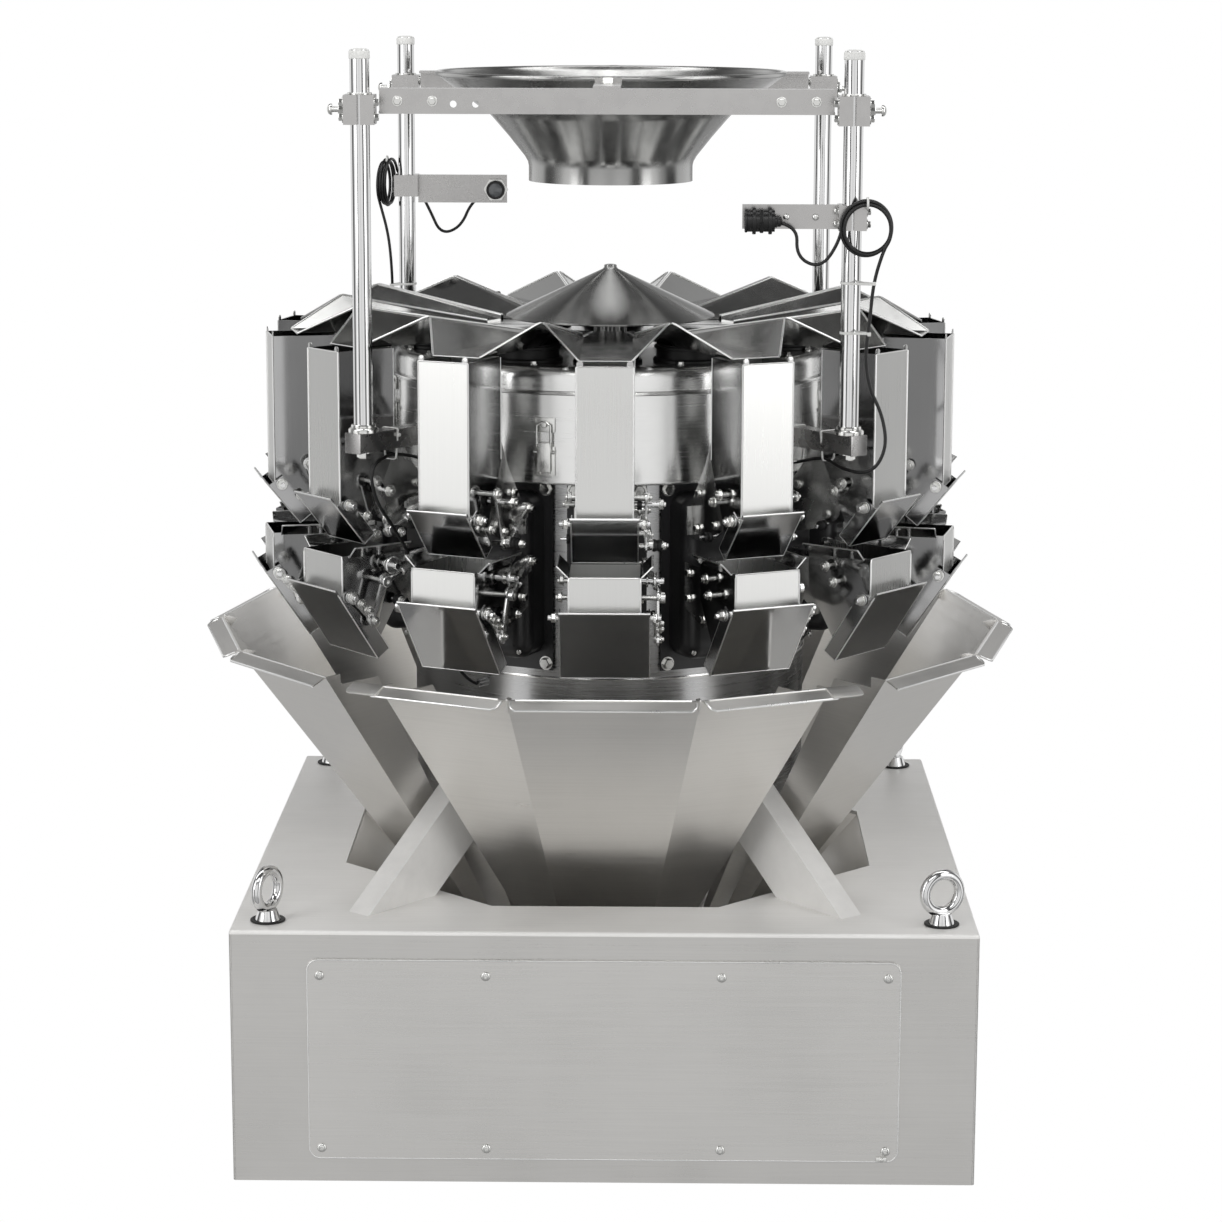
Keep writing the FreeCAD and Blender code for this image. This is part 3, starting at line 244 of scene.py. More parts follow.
MAT = {
    "deck": steel("deck_steel", (0.95, 0.945, 0.935), 0.42, "along_x", 0.04, 0.04, 0.05, metallic=0.25),
    "base": steel("base_wall_steel", (0.81, 0.805, 0.795), 0.30, "level", 0.04, 0.04, 0.05),
    "cover": steel("cover_sheet_steel", (0.83, 0.825, 0.815), 0.28, "level", 0.04, 0.04, 0.04),
    "frame": steel("frame_section_steel", (0.74, 0.735, 0.73), 0.26, "none", 0.03, 0.03, 0.04),
    "leg": steel("leg_box_steel", (0.93, 0.925, 0.915), 0.42, "none", 0.03, 0.03, 0.04, metallic=0.2),
    "column": steel("column_sheet_steel", (0.74, 0.74, 0.74), 0.27, "level", 0.03, 0.04, 0.05),
    "drum": steel("drum_sheet_steel", (0.92, 0.92, 0.915), 0.20, "level", 0.02, 0.03, 0.04, spun=0.5),
    "hopper": two_faced("hopper_sheet_steel", (0.88, 0.88, 0.872), (0.70, 0.70, 0.70), 0.30, 0.09),
    # rounded sheet edges, rims, lips and borders: real rolled geometry, coloured brighter than the sheets they trim as
    # a painted highlight
    "edge": steel("sheet_edges_painted_highlight", (0.95, 0.95, 0.945), 0.30, "none", 0.02, 0.02, 0.03, 0.03),
    "gate": steel("gate_sheet_steel", (0.68, 0.68, 0.68), 0.12, "none", 0.012, 0.03, 0.05, 0.03),
    "hanger": steel("hanger_plate_steel", (0.76, 0.76, 0.755), 0.22, "none", 0.02, 0.04, 0.05),
    "link": steel("link_plate_steel", (0.90, 0.90, 0.895), 0.24, "none", 0.02, 0.04, 0.05),
    "chute": steel("chute_sheet_steel", (0.90, 0.893, 0.88), 0.34, "level", 0.03, 0.03, 0.03),
    "pan": steel("pan_sheet_steel", (0.66, 0.66, 0.655), 0.11, "none", 0.012, 0.03, 0.05, 0.03),
    "cone": steel("cone_sheet_steel", (0.60, 0.60, 0.595), 0.22, "none", 0.010, 0.02, 0.03, 0.02, spun=0.85),
    "funnel": steel("funnel_sheet_steel", (0.66, 0.66, 0.655), 0.22, "none", 0.012, 0.02, 0.03, spun=0.8),
    "chrome": steel("bright_fittings", (0.88, 0.88, 0.88), 0.07, "none", 0.01, 0.02, 0.03, 0.02),
    "bolt": steel("bolt_heads", (0.88, 0.88, 0.87), 0.20, "none", 0.02, 0.04, 0.05, 0.04),
    "dark": plastic("drive_cover_plastic", (0.15, 0.15, 0.155), 0.36, 0.0, 0.08, 420.0, 0.1),
    "black": plastic("sensor_plastic", (0.045, 0.045, 0.048), 0.34),
    "rubber": plastic("black_rubber", (0.055, 0.055, 0.055), 0.52),
    "cable": plastic("cable_sheath", (0.035, 0.035, 0.037), 0.38, 0.0, 0.05, 700.0),
    "white": plastic("white_plastic", (0.88, 0.88, 0.87), 0.42, 0.0, 0.05, 300.0),
    "lens": plastic("sensor_lens", (0.35, 0.36, 0.37), 0.12, 0.0, 0.02, 200.0, 0.6),
}


def paint(obj, key):
    obj.data.materials.clear()
    obj.data.materials.append(MAT[key])


PAINT = {
    "base_top_plate": "deck", "base_end_walls": "base", "base_side_walls": "base", "access_covers": "cover", "lifting_eyes": "chrome", "collecting_funnel": "chute",
    "support_legs": "leg", "centre_column": "column", "drive_units": "dark", "upper_drum": "drum", "feeder_pans": "pan", "feeder_drives": "rubber", "top_cone": "funnel",
    "feed_hoppers": "hopper", "weigh_hoppers": "hopper", "hopper_hangers": "hanger", "end_chutes": "chute", "side_chutes": "chute", "post_arms": "frame", "posts": "chrome",
    "infeed_funnel": "funnel", "funnel_beams": "frame", "sensor_brackets": "frame", "sensors": "black",
}
for name, obj in NODES.items():
    if name in PAINT:
        paint(obj, PAINT[name])
    elif "_gate_" in name:
        paint(obj, "gate")

# ------------------------------------------------------------------ cords


def cord_curve(name, points, diameter):
    cu = bpy.data.curves.new(name, "CURVE")
    cu.dimensions = "3D"
    cu.resolution_u = 8
    cu.bevel_depth = diameter / 2
    cu.bevel_resolution = 3
    cu.use_fill_caps = True
    sp = cu.splines.new("NURBS")
    sp.points.add(len(points) - 1)
    for p, c in zip(sp.points, points):
        p.co = (c[0] * MM, c[1] * MM, c[2] * MM, 1.0)
    sp.order_u = 3
    sp.use_endpoint_u = True
    ob = bpy.data.objects.new(name, cu)
    scene.collection.objects.link(ob)
    cu.materials.append(MAT["cable"])
    return ob


def spline_length(ob):
    copy = ob.copy()
    copy.data = ob.data.copy()
    copy.data.bevel_depth = 0
    copy.data.use_fill_caps = False
    scene.collection.objects.link(copy)
    bpy.context.view_layer.update()
    me = bpy.data.meshes.new_from_object(copy)
    pts = [v.co.copy() for v in me.vertices]
    total = sum((b - a).length for a, b in zip(pts, pts[1:]))
    bpy.data.objects.remove(copy)
    return total, pts


CORD = 5 * MM
RIGHT_LOOP = [(241, -457.5, 1414), (274, -458, 1410), (272, -460, 1364), (308, -463, 1348), (334, -466, 1388)]
RIGHT_TAIL = [(382, -481, 1330), (378, -479, 1278), (372, -477, 1226), (378, -476, 1180), (399, -479, 1138), (405, -488, 1092), (384, -487, 1055), (346, -446, 1054),
              (319, -402, 1068), (286, -359, 1054), (252, -316, 1041), (226.94, -284.57, 1040)]
LEFT_LOOP = [(-201, 478, 1400), (-204, 512, 1398), (-246, 516, 1376), (-264, 500, 1332), (-298, 486, 1320), (-316, 480, 1362), (-338, 482, 1404)]
LEFT_TAIL = [(-384, 433, 1326), (-379, 434, 1274), (-378, 440, 1222), (-382, 447, 1176), (-396, 456, 1132), (-400, 468, 1088), (-380, 480, 1054), (-345, 444, 1054),
             (-319, 402, 1068), (-286, 359, 1054), (-252, 316, 1041), (-226.94, 284.57, 1040)]
ARM_CABLE = [(-226.94, -284.57, 1040), (-253, -316, 1042), (-286, -358, 1060), (-320, -402, 1070), (-345, -434, 1052), (-338, -424, 1003), (-314, -392, 958), (-290, -362, 905),
             (-270, -337, 850), (-252, -314, 795), (-234, -291, 742), (-217, -272, 704), (-200.43, -251.34, 692)]


def turns(centre, e1, e2, axis, start, stop, count, a0, a1, radius, wobble):
    """The points of a coil: from one angle to another, in degrees, along its axis from a0 to a1."""
    c, e1, e2, ax = Vector(centre), Vector(e1).normalized(), Vector(e2).normalized(), Vector(axis).normalized()
    pts = []
    for i in range(count):
        u = i / (count - 1)
        th = math.radians(start + (stop - start) * u)
        done = abs(start + (stop - start) * u - start) / 360.0
        r = radius + wobble * math.cos(math.pi * done) + 0.5 * math.sin(2.3 * done * math.pi)
        p = c + e1 * (r * math.cos(th)) + e2 * (r * 1.07 * math.sin(th)) + ax * (a0 + (a1 - a0) * u)
        pts.append(tuple(p))
    return pts


right_turns = turns((372, -476, 1406), (1, 0, 0), (0, 0, 1), (0, -1, 0), 150, -50 - 1080, 50, -6.5, 8.5, 35.5, 2.4)
left_turns = turns((-386, 450, 1411), (0.21, 0.975, 0), (0, 0, 1), (-1, 0.22, 0), 18, 240 + 1080, 50, -8, 8, 35.5, 2.4)
cords = []
for name, pts, nodes, stiff, lay in (
        ("right_sensor_cable", RIGHT_LOOP + right_turns + RIGHT_TAIL, ("right_cord_loop", "right_cord_coil", "right_cord_tail"), "limp", "hanging"),
        ("left_sensor_cable", LEFT_LOOP + left_turns + LEFT_TAIL, ("left_cord_loop", "left_cord_coil", "left_cord_tail"), "limp", "hanging"),
        ("drum_to_column_cable", ARM_CABLE, ("arm_cable",), "limp", "hanging")):
    thick = CORD
    ob = cord_curve(name, pts, thick)
    length, line = spline_length(ob)
    print("CORD", name, round(length, 4))
    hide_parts(*nodes)
    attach(ob, "machine")
    cords.append(line)

# ------------------------------------------------------------------ mesh kit: pieces are gathered in millimetres, then written as one mesh for each material


class Kit:
    def __init__(self):
        self.v, self.f = [], []
        self.n = 0

    def put(self, verts, faces, mat=None):
        vs = [Vector(p) for p in verts]
        if mat is not None:
            vs = [mat @ p for p in vs]
        self.v += [tuple(p) for p in vs]
        self.f += [tuple(i + self.n for i in f) for f in faces]
        self.n += len(vs)
        return self

    def lathe(self, profile, origin, axis, seg=20, phase=0.0, arc=None):
        """profile: (radius, height) pairs along the axis."""
        ax = Vector(axis).normalized()
        ref = Vector((0, 0, 1)) if abs(ax.z) < 0.9 else Vector((1, 0, 0))
        e1 = ax.cross(ref).normalized()
        e2 = ax.cross(e1).normalized()
        o = Vector(origin)
        verts, faces, rows = [], [], []
        for r, h in profile:
            if r <= 1e-6:
                rows.append([len(verts)])
                verts.append(o + ax * h)
            else:
                row = []
                for k in range(seg):
                    th = 2 * math.pi * (k + phase) / seg
                    row.append(len(verts))
                    verts.append(o + ax * h + (e1 * math.cos(th) + e2 * math.sin(th)) * r)
                rows.append(row)
        for a, b in zip(rows, rows[1:]):
            if len(a) == 1 and len(b) == 1:
                continue
            for k in range(seg):
                k2 = (k + 1) % seg
                if len(a) == 1:
                    faces.append((a[0], b[k2], b[k]))
                elif len(b) == 1:
                    faces.append((a[k], a[k2], b[0]))
                else:
                    faces.append((a[k], a[k2], b[k2], b[k]))
        return self.put(verts, faces)

    def rod(self, p0, p1, r, ch=0.6, seg=18):
        p0, p1 = Vector(p0), Vector(p1)
        L = (p1 - p0).length
        ch = min(ch, L * 0.4, r * 0.6)
        return self.lathe([(0, 0), (r - ch, 0), (r, ch), (r, L - ch), (r - ch, L), (0, L)], p0, p1 - p0, seg)

    def ring(self, p, axis, r, inner, t, seg=20, ch=0.4):
        return self.lathe([(inner, 0), (r - ch, 0), (r, ch), (r, t - ch), (r - ch, t), (inner, t), (inner, 0)], p, axis, seg)

    def hexhead(self, p, axis, across, height, washer=None, seg=6):
        """A hexagon bolt head standing on its washer."""
        ax = Vector(axis).normalized()
        p = Vector(p)
        base = 0.0
        if washer:
            self.lathe([(0, 0), (washer - 0.3, 0), (washer, 0.4), (washer, 1.3), (washer - 0.3, 1.6), (0, 1.6)], p, ax, 22)
            base = 1.6
        R = across / 2 / math.cos(math.pi / 6)
        self.lathe([(0, base), (R, base), (R, base + height * 0.8), (R * 0.86, base + height), (0, base + height)], p, ax, 6)
        return self

    def dome(self, p, axis, r, h, rim=1.0, seg=22, socket=True):
        prof = [(0, 0), (r, 0), (r, rim)]
        for k in range(1, 6):
            a = k / 6 * math.pi / 2
            prof.append((r * math.cos(a) * 0.98, rim + (h - rim) * math.sin(a)))
        if socket:
            prof += [(r * 0.32, h), (r * 0.28, h - 0.2), (r * 0.26, h * 0.55), (0, h * 0.5)]
        else:
            prof += [(0, h)]
        return self.lathe(prof, p, axis, seg)

    def box(self, centre, dims, bevel=0.8, rot=None, seg=2):
        bm = bmesh.new()
        bmesh.ops.create_cube(bm, size=1.0)
        bmesh.ops.scale(bm, vec=Vector(dims), verts=bm.verts)
        if bevel > 0:
            bmesh.ops.bevel(bm, geom=list(bm.edges), offset=bevel, segments=seg, profile=0.6, affect="EDGES")
        mat = Matrix.Translation(Vector(centre)) @ (rot.to_4x4() if rot is not None else Matrix.Identity(4))
        self.put([v.co for v in bm.verts], [[v.index for v in f.verts] for f in bm.faces] if bm.verts.index_update() is None else [], mat)
        bm.free()
        return self

    def plate(self, outline, t, origin, ex, ey, bevel=0.5):
        """A flat plate of any outline, t thick about the plane of ex and ey."""
        ex, ey = Vector(ex).normalized(), Vector(ey).normalized()
        ez = ex.cross(ey).normalized()
        o = Vector(origin)
        bm = bmesh.new()
        vs = [bm.verts.new((a, b, -t / 2)) for a, b in outline]
        face = bm.faces.new(vs)
        got = bmesh.ops.extrude_face_region(bm, geom=[face])
        bmesh.ops.translate(bm, vec=(0, 0, t), verts=[g for g in got["geom"] if isinstance(g, bmesh.types.BMVert)])
        bmesh.ops.recalc_face_normals(bm, faces=bm.faces)
        if bevel > 0:
            edges = [e for e in bm.edges if abs(e.verts[0].co.z - e.verts[1].co.z) < 1e-6]
            bmesh.ops.bevel(bm, geom=edges, offset=min(bevel, t * 0.35), segments=2, profile=0.6, affect="EDGES")
        bm.verts.index_update()
        mat = Matrix(((ex.x, ey.x, ez.x, o.x), (ex.y, ey.y, ez.y, o.y), (ex.z, ey.z, ez.z, o.z), (0, 0, 0, 1)))
        self.put([v.co for v in bm.verts], [[v.index for v in f.verts] for f in bm.faces], mat)
        bm.free()
        return self

    def tube(self, path, r, seg=10, closed=False, squash=1.0):
        pts = [Vector(p) for p in path]
        n = len(pts)
        verts, faces = [], []
        nrm = None
        for i, p in enumerate(pts):
            if closed:
                t = (pts[(i + 1) % n] - pts[i - 1]).normalized()
            else:
                t = (pts[min(i + 1, n - 1)] - pts[max(i - 1, 0)]).normalized()
            if nrm is None:
                ref = Vector((0, 0, 1)) if abs(t.z) < 0.9 else Vector((1, 0, 0))
                nrm = t.cross(ref).normalized()
            nrm = (nrm - t * nrm.dot(t)).normalized()
            bi = t.cross(nrm)
            for k in range(seg):
                th = 2 * math.pi * k / seg
                verts.append(p + nrm * (r * math.cos(th)) + bi * (r * squash * math.sin(th)))
        rows = n if closed else n - 1
        for i in range(rows):
            a, b = i * seg, ((i + 1) % n) * seg
            for k in range(seg):
                k2 = (k + 1) % seg
                faces.append((a + k, a + k2, b + k2, b + k))
        if not closed:
            faces.append(tuple(range(seg - 1, -1, -1)))
            faces.append(tuple((n - 1) * seg + k for k in range(seg)))
        return self.put(verts, faces)

    def add(self, other, mat=None):
        return self.put(other.v, other.f, mat)

    def around(self, heads=range(14), angle=None):
        """The same things at each head."""
        out = Kit()
        v = np.array(self.v)
        for h in heads:
            a = -PITCH * h if angle is None else angle(h)
            c, s = math.cos(a), math.sin(a)
            w = v.copy()
            w[:, 0] = v[:, 0] * c - v[:, 1] * s
            w[:, 1] = v[:, 0] * s + v[:, 1] * c
            out.v += [tuple(p) for p in w]
            out.f += [tuple(i + out.n for i in f) for f in self.f]
            out.n += len(v)
        return out

    def mirror(self):
        out = Kit()
        out.v = [(-x, y, z) for x, y, z in self.v]
        out.f = [tuple(reversed(f)) for f in self.f]
        out.n = self.n
        return out

    def write(self, name, key, body="machine", slot=None, angle=35, smooth=True):
        me = bpy.data.meshes.new(name)
        me.from_pydata([(x * MM, y * MM, z * MM) for x, y, z in self.v], [], self.f)
        me.validate()
        bm = bmesh.new()
        bm.from_mesh(me)
        bmesh.ops.recalc_face_normals(bm, faces=bm.faces)
        bm.to_mesh(me)
        bm.free()
        if smooth:
            me.polygons.foreach_set("use_smooth", [True] * len(me.polygons))
            me.set_sharp_from_angle(angle=math.radians(angle))
        me.update()
        ob = bpy.data.objects.new(name, me)
        scene.collection.objects.link(ob)
        ob.data.materials.append(MAT[key])
        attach(ob, body)
        return ob


def az_turn(deg):
    """Turns head 1's place to this azimuth, in degrees."""
    return Matrix.Rotation(-math.radians(deg), 4, "Z")


# ------------------------------------------------------------------ turned pieces, finely drawn


def turned(name, key, profile, node, slot, seg=160, more=()):
    k = Kit().lathe(profile, (0, 0, 0), (0, 0, 1), seg)
    for az in more:
        g = Kit().lathe([(0, 0), (8.6, 0), (8.6, 5), (7, 6), (7, 12), (5.4, 14), (3.6, 14.4), (0, 14.4)], (0, -349, 1040), (0, -1, 0), 24)
        k.add(g, Matrix.Rotation(-math.radians(az), 4, "Z"))
    ob = k.write(name, key, slot=slot, angle=28)
    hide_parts(node)
    return ob


bead = [(269.3 + 4.3 * math.cos(math.radians(a)), 1609.2 + 4.3 * math.sin(math.radians(a))) for a in range(-100, 171, 27)]
turned("smooth_funnel", "funnel", [(125.5, 1444), (128, 1444), (128, 1467), (129.5, 1474), (134, 1482), (158, 1512), (184, 1542), (188, 1546), (194, 1550.5), (266.8, 1604.6)] + bead
       + [(262, 1604.8), (192, 1552.6), (186, 1548), (182, 1543.6), (155.6, 1513.4), (131.6, 1483.2), (127, 1475), (125.5, 1468), (125.5, 1444)], "infeed_funnel", "funnel_steel")
turned("smooth_cone", "cone", [(0, 1190), (26, 1190), (26, 1286), (30, 1288), (160.5, 1232.4), (162.4, 1231.6), (164, 1232.4), (164.3, 1234), (163, 1235.4), (12, 1306), (10, 1308.4), (10, 1311), (9, 1312.6), (5, 1313.4), (0, 1313.6)],
       "top_cone", "funnel_steel")
turned("smooth_drum", "drum", [(0, 1012), (320, 1012), (320, 1014.5), (348, 1014.5), (349.4, 1015), (350, 1016.4), (350, 1020), (350, 1151), (349.2, 1152.4), (347.6, 1153), (342.6, 1153), (342, 1153.8), (342, 1172), (341, 1178), (338, 1184.6), (333, 1188.6),
                               (328, 1190), (322, 1190), (0, 1190)], "upper_drum", "drum_steel", more=(38.5714, -38.5714, 141.4286))

# ------------------------------------------------------------------ small pieces used again and again


def at(x, r, z):
    """A place at head 1: across, out from the middle, up."""
    return Vector((x, -r, z))


X, OUT, UP = Vector((1, 0, 0)), Vector((0, -1, 0)), Vector((0, 0, 1))


def stack(k, p, axis, reach, across=12.5, washer=8.5, shank=3.9):
    """A bolt through a joint: shank, washer and head, with the thread's end showing."""
    ax = Vector(axis).normalized()
    p = Vector(p)
    k.rod(p, p + ax * reach, shank, 0.6, 14)
    q = p + ax * max(0.0, reach - across * 0.42 - 4.5)
    k.ring(q, ax, washer, shank * 0.9, 1.5, 20)
    k.hexhead(q + ax * 1.5, ax, across, across * 0.42)


def link(k, p0, p1, normal, r0=9.0, r1=9.0, waist=5.5, t=3.6):
    """A flat link with round eyes."""
    p0, p1 = Vector(p0), Vector(p1)
    d = p1 - p0
    L, ey, n = d.length, d.normalized(), Vector(normal).normalized()
    ex = ey.cross(n).normalized()
    a1, a0 = math.acos(min(1, waist / r1)), math.acos(min(1, waist / r0))
    pts = []
    for i in range(13):
        th = -a1 + (math.pi + 2 * a1) * i / 12
        pts.append((r1 * math.cos(th), L + r1 * math.sin(th)))
    for i in range(13):
        th = math.pi - a0 + (math.pi + 2 * a0) * i / 12
        pts.append((r0 * math.cos(th), r0 * math.sin(th)))
    k.plate(pts, t, p0, ex, ey, 0.7)


def tie(k, p0, p1, n, r=3.6, eye=8.5):
    """A tie rod in two halves screwed into a hexagonal coupling, with an eye at each end."""
    p0, p1, n = Vector(p0), Vector(p1), Vector(n).normalized()
    u = (p1 - p0).normalized()
    L = (p1 - p0).length
    k.rod(p0 + u * eye * 0.7, p1 - u * eye * 0.7, r, 0.5, 14)
    k.lathe([(0, 0), (5.6, 0), (6.6, 1), (6.6, L * 0.34), (5.6, L * 0.34 + 1), (0, L * 0.34 + 1)], p0 + u * L * 0.32, u, 6)
    for p in (p0, p1):
        k.ring(p - n * 4, n, eye, 3.4, 8, 24, 1.0)


def bush(k, p, axis, r=9, h=14):
    """A rubber buffer, waisted."""
    k.lathe([(0, 0), (r - 1, 0), (r, 1.2), (r, h * 0.3), (r - 1.4, h * 0.5), (r, h * 0.7), (r, h - 1.2), (r - 1, h), (0, h)], p, axis, 24)


def ribbon(k, path, width, thick, axis):
    """A flat band along a closed path; its width lies along the axis."""
    pts, ax = [Vector(p) for p in path], Vector(axis).normalized()
    n = len(pts)
    verts, faces = [], []
    for i, p in enumerate(pts):
        t = (pts[(i + 1) % n] - pts[i - 1]).normalized()
        o = t.cross(ax).normalized()
        for a, b in ((-1, 0), (-0.8, 1), (0.8, 1), (1, 0), (0.8, -1), (-0.8, -1)):
            verts.append(p + ax * (a * width / 2) + o * (b * thick / 2))
    for i in range(n):
        a, b = i * 6, ((i + 1) % n) * 6
        for j in range(6):
            j2 = (j + 1) % 6
            faces.append((a + j, a + j2, b + j2, b + j))
    k.put(verts, faces)


def band_about(c1, r1, c2, r2, z, tilt=0.0):
    """A closed path drawn tight about two round things standing side by side."""
    c1, c2 = Vector(c1), Vector(c2)
    d = c2 - c1
    base, phi = math.atan2(d.y, d.x), math.acos((r1 - r2) / d.length)
    out = []
    for i in range(25):
        th = base + phi + (2 * math.pi - 2 * phi) * i / 24
        out.append((c1.x + r1 * math.cos(th), c1.y + r1 * math.sin(th), z))
    for i in range(11):
        th = base - phi + 2 * phi * i / 10
        out.append((c2.x + r2 * math.cos(th), c2.y + r2 * math.sin(th), z + tilt))
    return out


# ------------------------------------------------------------------ each head: sheet edges in brighter steel as painted highlight, hardware between the hoppers
edge, bolts, links, hang, rub, chrome = Kit(), Kit(), Kit(), Kit(), Kit(), Kit()
for s in (-1, 1):
    # feed hopper
    edge.tube([at(s * 40.9, 537.9, 984), at(s * 40.9, 537.9, 1213.6)], 1.5, 8)
    edge.tube([at(s * 41, 440.6, 1064), at(s * 41, 440.6, 1213.6)], 1.1, 6)
    hang.plate([(s * 31, 1213), (s * 40.6, 1213), (s * 40.6, 1219.5), (s * 38.6, 1222), (s * 33, 1222), (s * 31, 1219.5)], 1.6, at(0, 537.2, 0), X, UP, 0.4)
    # weigh hopper
    edge.tube([at(s * 51.9, 542.9, 846), at(s * 51.9, 542.9, 905)], 1.5, 8)
    edge.tube([at(s * 69.2, 431, 924.8), at(s * 69.2, 530, 924.8)], 1.2, 6)
    edge.tube([at(s * 52.6, 530.4, 908.4), at(s * 69, 530.4, 924.8)], 1.1, 6)
    # pivots of the two gates
    chrome.rod(at(s * 50.5, 528, 986.6), at(s * 66, 528, 986.6), 4.2, 0.8, 16)
    bolts.ring(at(s * 52.4, 528, 986.6), X * s, 8.8, 4, 1.6, 22)
    bolts.hexhead(at(s * 54.2, 528, 986.6), X * s, 12.6, 5.6)
    bolts.ring(at(s * 60.2, 528, 986.6), X * s, 7.2, 4, 1.4, 22)
    chrome.rod(at(s * 68, 537.6, 851.3), at(s * 82, 537.6, 851.3), 4.2, 0.8, 16)
    bolts.ring(at(s * 69.4, 537.6, 851.3), X * s, 8.8, 4, 1.6, 22)
    bolts.hexhead(at(s * 71.2, 537.6, 851.3), X * s, 12.6, 5.6)
    # plates that carry the hoppers on the drive unit
    hang.plate([(371.5, 936), (371.5, 992), (414, 1052), (436, 1094), (440, 1094), (440, 1062), (478, 980), (470, 962), (446, 948), (410, 938)], 3, at(s * 37, 0, 0), OUT, UP, 0.7)
    hang.plate([(371.5, 834), (371.5, 902), (429.5, 902), (429.5, 859), (450, 826), (446, 816), (432, 812), (402, 822)], 3, at(s * 48, 0, 0), OUT, UP, 0.7)
    hang.box(at(s * 42, 373, 964), (12, 4, 44), 0.8)
    hang.box(at(s * 40, 373, 866), (14, 4, 52), 0.8)
    for r, z in ((392, 955), (398, 1008), (452, 968)):
        bolts.hexhead(at(s * 38.5, r, z), X * s, 10, 4.4, 7)
    for r, z in ((388, 850), (388, 888), (436, 826)):
        bolts.hexhead(at(s * 49.5, r, z), X * s, 10, 4.4, 7)
    # drive unit: cover screws and the bolts of its back plate
    for z in (762, 984):
        bolts.dome(at(s * 33, 371, z), OUT, 4.2, 2.6, 0.8, 16)
    for z in (736, 1003):
        bolts.hexhead(at(s * 49, 313, z), OUT, 14.5, 6.5, 11)
edge.tube([at(-40.6, 537.8, 1213.9), at(40.6, 537.8, 1213.9)], 1.1, 6)
edge.tube([at(-40.6, 537.6, 984), at(40.6, 537.6, 984)], 1.0, 6)
edge.tube([at(-49, 542.8, 910.4), at(49, 542.8, 910.4)], 1.1, 6)
for s in (-1, 1):
    edge.tube([at(s * 49, 542.8, 910.4), at(s * 51.2, 542.9, 909), at(s * 51.9, 542.9, 905)], 1.1, 6)

# feed level, on the head's right
stack(bolts, at(41, 500, 969), X, 24, 11, 7.5, 3.6)
stack(bolts, at(41, 474, 1007), X, 47, 13, 9)
chrome.rod(at(41, 474, 1007), at(80, 474, 1007), 4.4, 0.5, 16)
rub.ring(at(46, 474, 1007), X, 8.4, 4.2, 7, 20)
link(links, at(59, 486, 1019), at(59, 464, 944), X, 10, 10, 6.2, 4)
stack(bolts, at(41, 486, 1019), X, 27, 12.5, 8.5)
stack(bolts, at(38, 464, 944), X, 30, 12.5, 8.5)
stack(bolts, at(57, 470, 962), X, 13, 10, 7, 3.2)
bush(rub, at(68, 458, 944), X, 9.2, 14)
chrome.rod(at(61, 458, 944), at(92, 458, 944), 3.1, 0.5, 14)
bolts.hexhead(at(83, 458, 944), X, 10, 4.6, 7)
tie(links, at(66, 462, 946), at(52, 384, 984), X, 3.8, 8.4)
stack(bolts, at(38, 384, 984), X, 28, 11.5, 8)
links.plate([(-14, -9), (-14, 9), (6, 13), (34, 9), (40, 4), (40, -4), (34, -9), (6, -13)], 3.6, at(49.5, 388, 978), OUT, UP, 0.7)

# weigh level, on the head's right
chrome.rod(at(52, 466, 893), at(86, 466, 893), 5.2, 0.6, 18)
links.lathe([(0, 0), (12, 0), (13.4, 1.2), (13.4, 3.4), (12, 4.6), (0, 4.6)], at(70, 466, 893), X, 30)
bolts.ring(at(60, 466, 893), X, 9.4, 5, 2.4, 22)
stack(bolts, at(52, 482, 871), X, 33, 12.5, 8.8)
link(links, at(77, 484, 874), at(77, 503, 812), X, 10, 9.5, 6, 4)
link(links, at(72.8, 536, 850), at(72.8, 505, 818), X, 9.5, 9.5, 6, 3.2)
for r, z in ((526, 842), (514, 831), (503, 814)):
    stack(bolts, at(72, r, z), X, 14, 11, 7.4, 3.4)
tie(links, at(84, 486, 872), at(56, 384, 905), X, 3.8, 8.4)
stack(bolts, at(46, 384, 905), X, 24, 11.5, 8)
links.plate([(-14, -10), (-14, 10), (8, 14), (36, 9), (42, 4), (42, -4), (36, -9), (8, -14)], 3.6, at(54.5, 388, 898), OUT, UP, 0.7)
bush(rub, at(60, 452, 838), X, 8.6, 13)
chrome.rod(at(50, 452, 838), at(82, 452, 838), 3.0, 0.5, 14)
bolts.hexhead(at(73.5, 452, 838), X, 10, 4.6, 7)
# on the left: a stop bolt with its buffer, and the far ends of the shafts
for r, z, a, b in ((474, 1007, 41, 56), (486, 1019, 41, 52), (466, 893, 52, 64), (482, 871, 52, 66)):
    stack(bolts, at(-a, r, z), -X, b - a + 6, 12, 8.4)
bush(rub, at(-46, 452, 952), -X, 7.6, 11)
chrome.rod(at(-38, 452, 952), at(-66, 452, 952), 2.9, 0.5, 14)

# pans: rolled edges of the wings and of the nose
tan = math.tan(math.pi / 14)
for s in (-1, 1):
    w1, w2 = 190 * tan - 2.6, 412 * tan - 2.6
    edge.tube([at(s * w1, 190, 1224.4), at(s * w2, 412, 1263.2), at(s * (w2 - 3), 418, 1261.6), at(s * 38.4, 499.4, 1218.6)], 1.5, 8)
edge.tube([at(-38, 499.6, 1217.6), at(38, 499.6, 1217.6)], 1.2, 6)
# drives under the pans
rub.lathe([(47, 0), (51, 0), (52, 1), (52, 4), (50, 6), (47, 6)], at(0, 276, 1190), UP, 48)
rub.lathe([(46.8, 0), (50, 1), (50.4, 3), (50, 5), (46.8, 6)], at(0, 276, 1209), UP, 48)
for s in (-1, 1):
    bolts.hexhead(at(s * 34, 322, 1190), UP, 9, 4, 6.4)

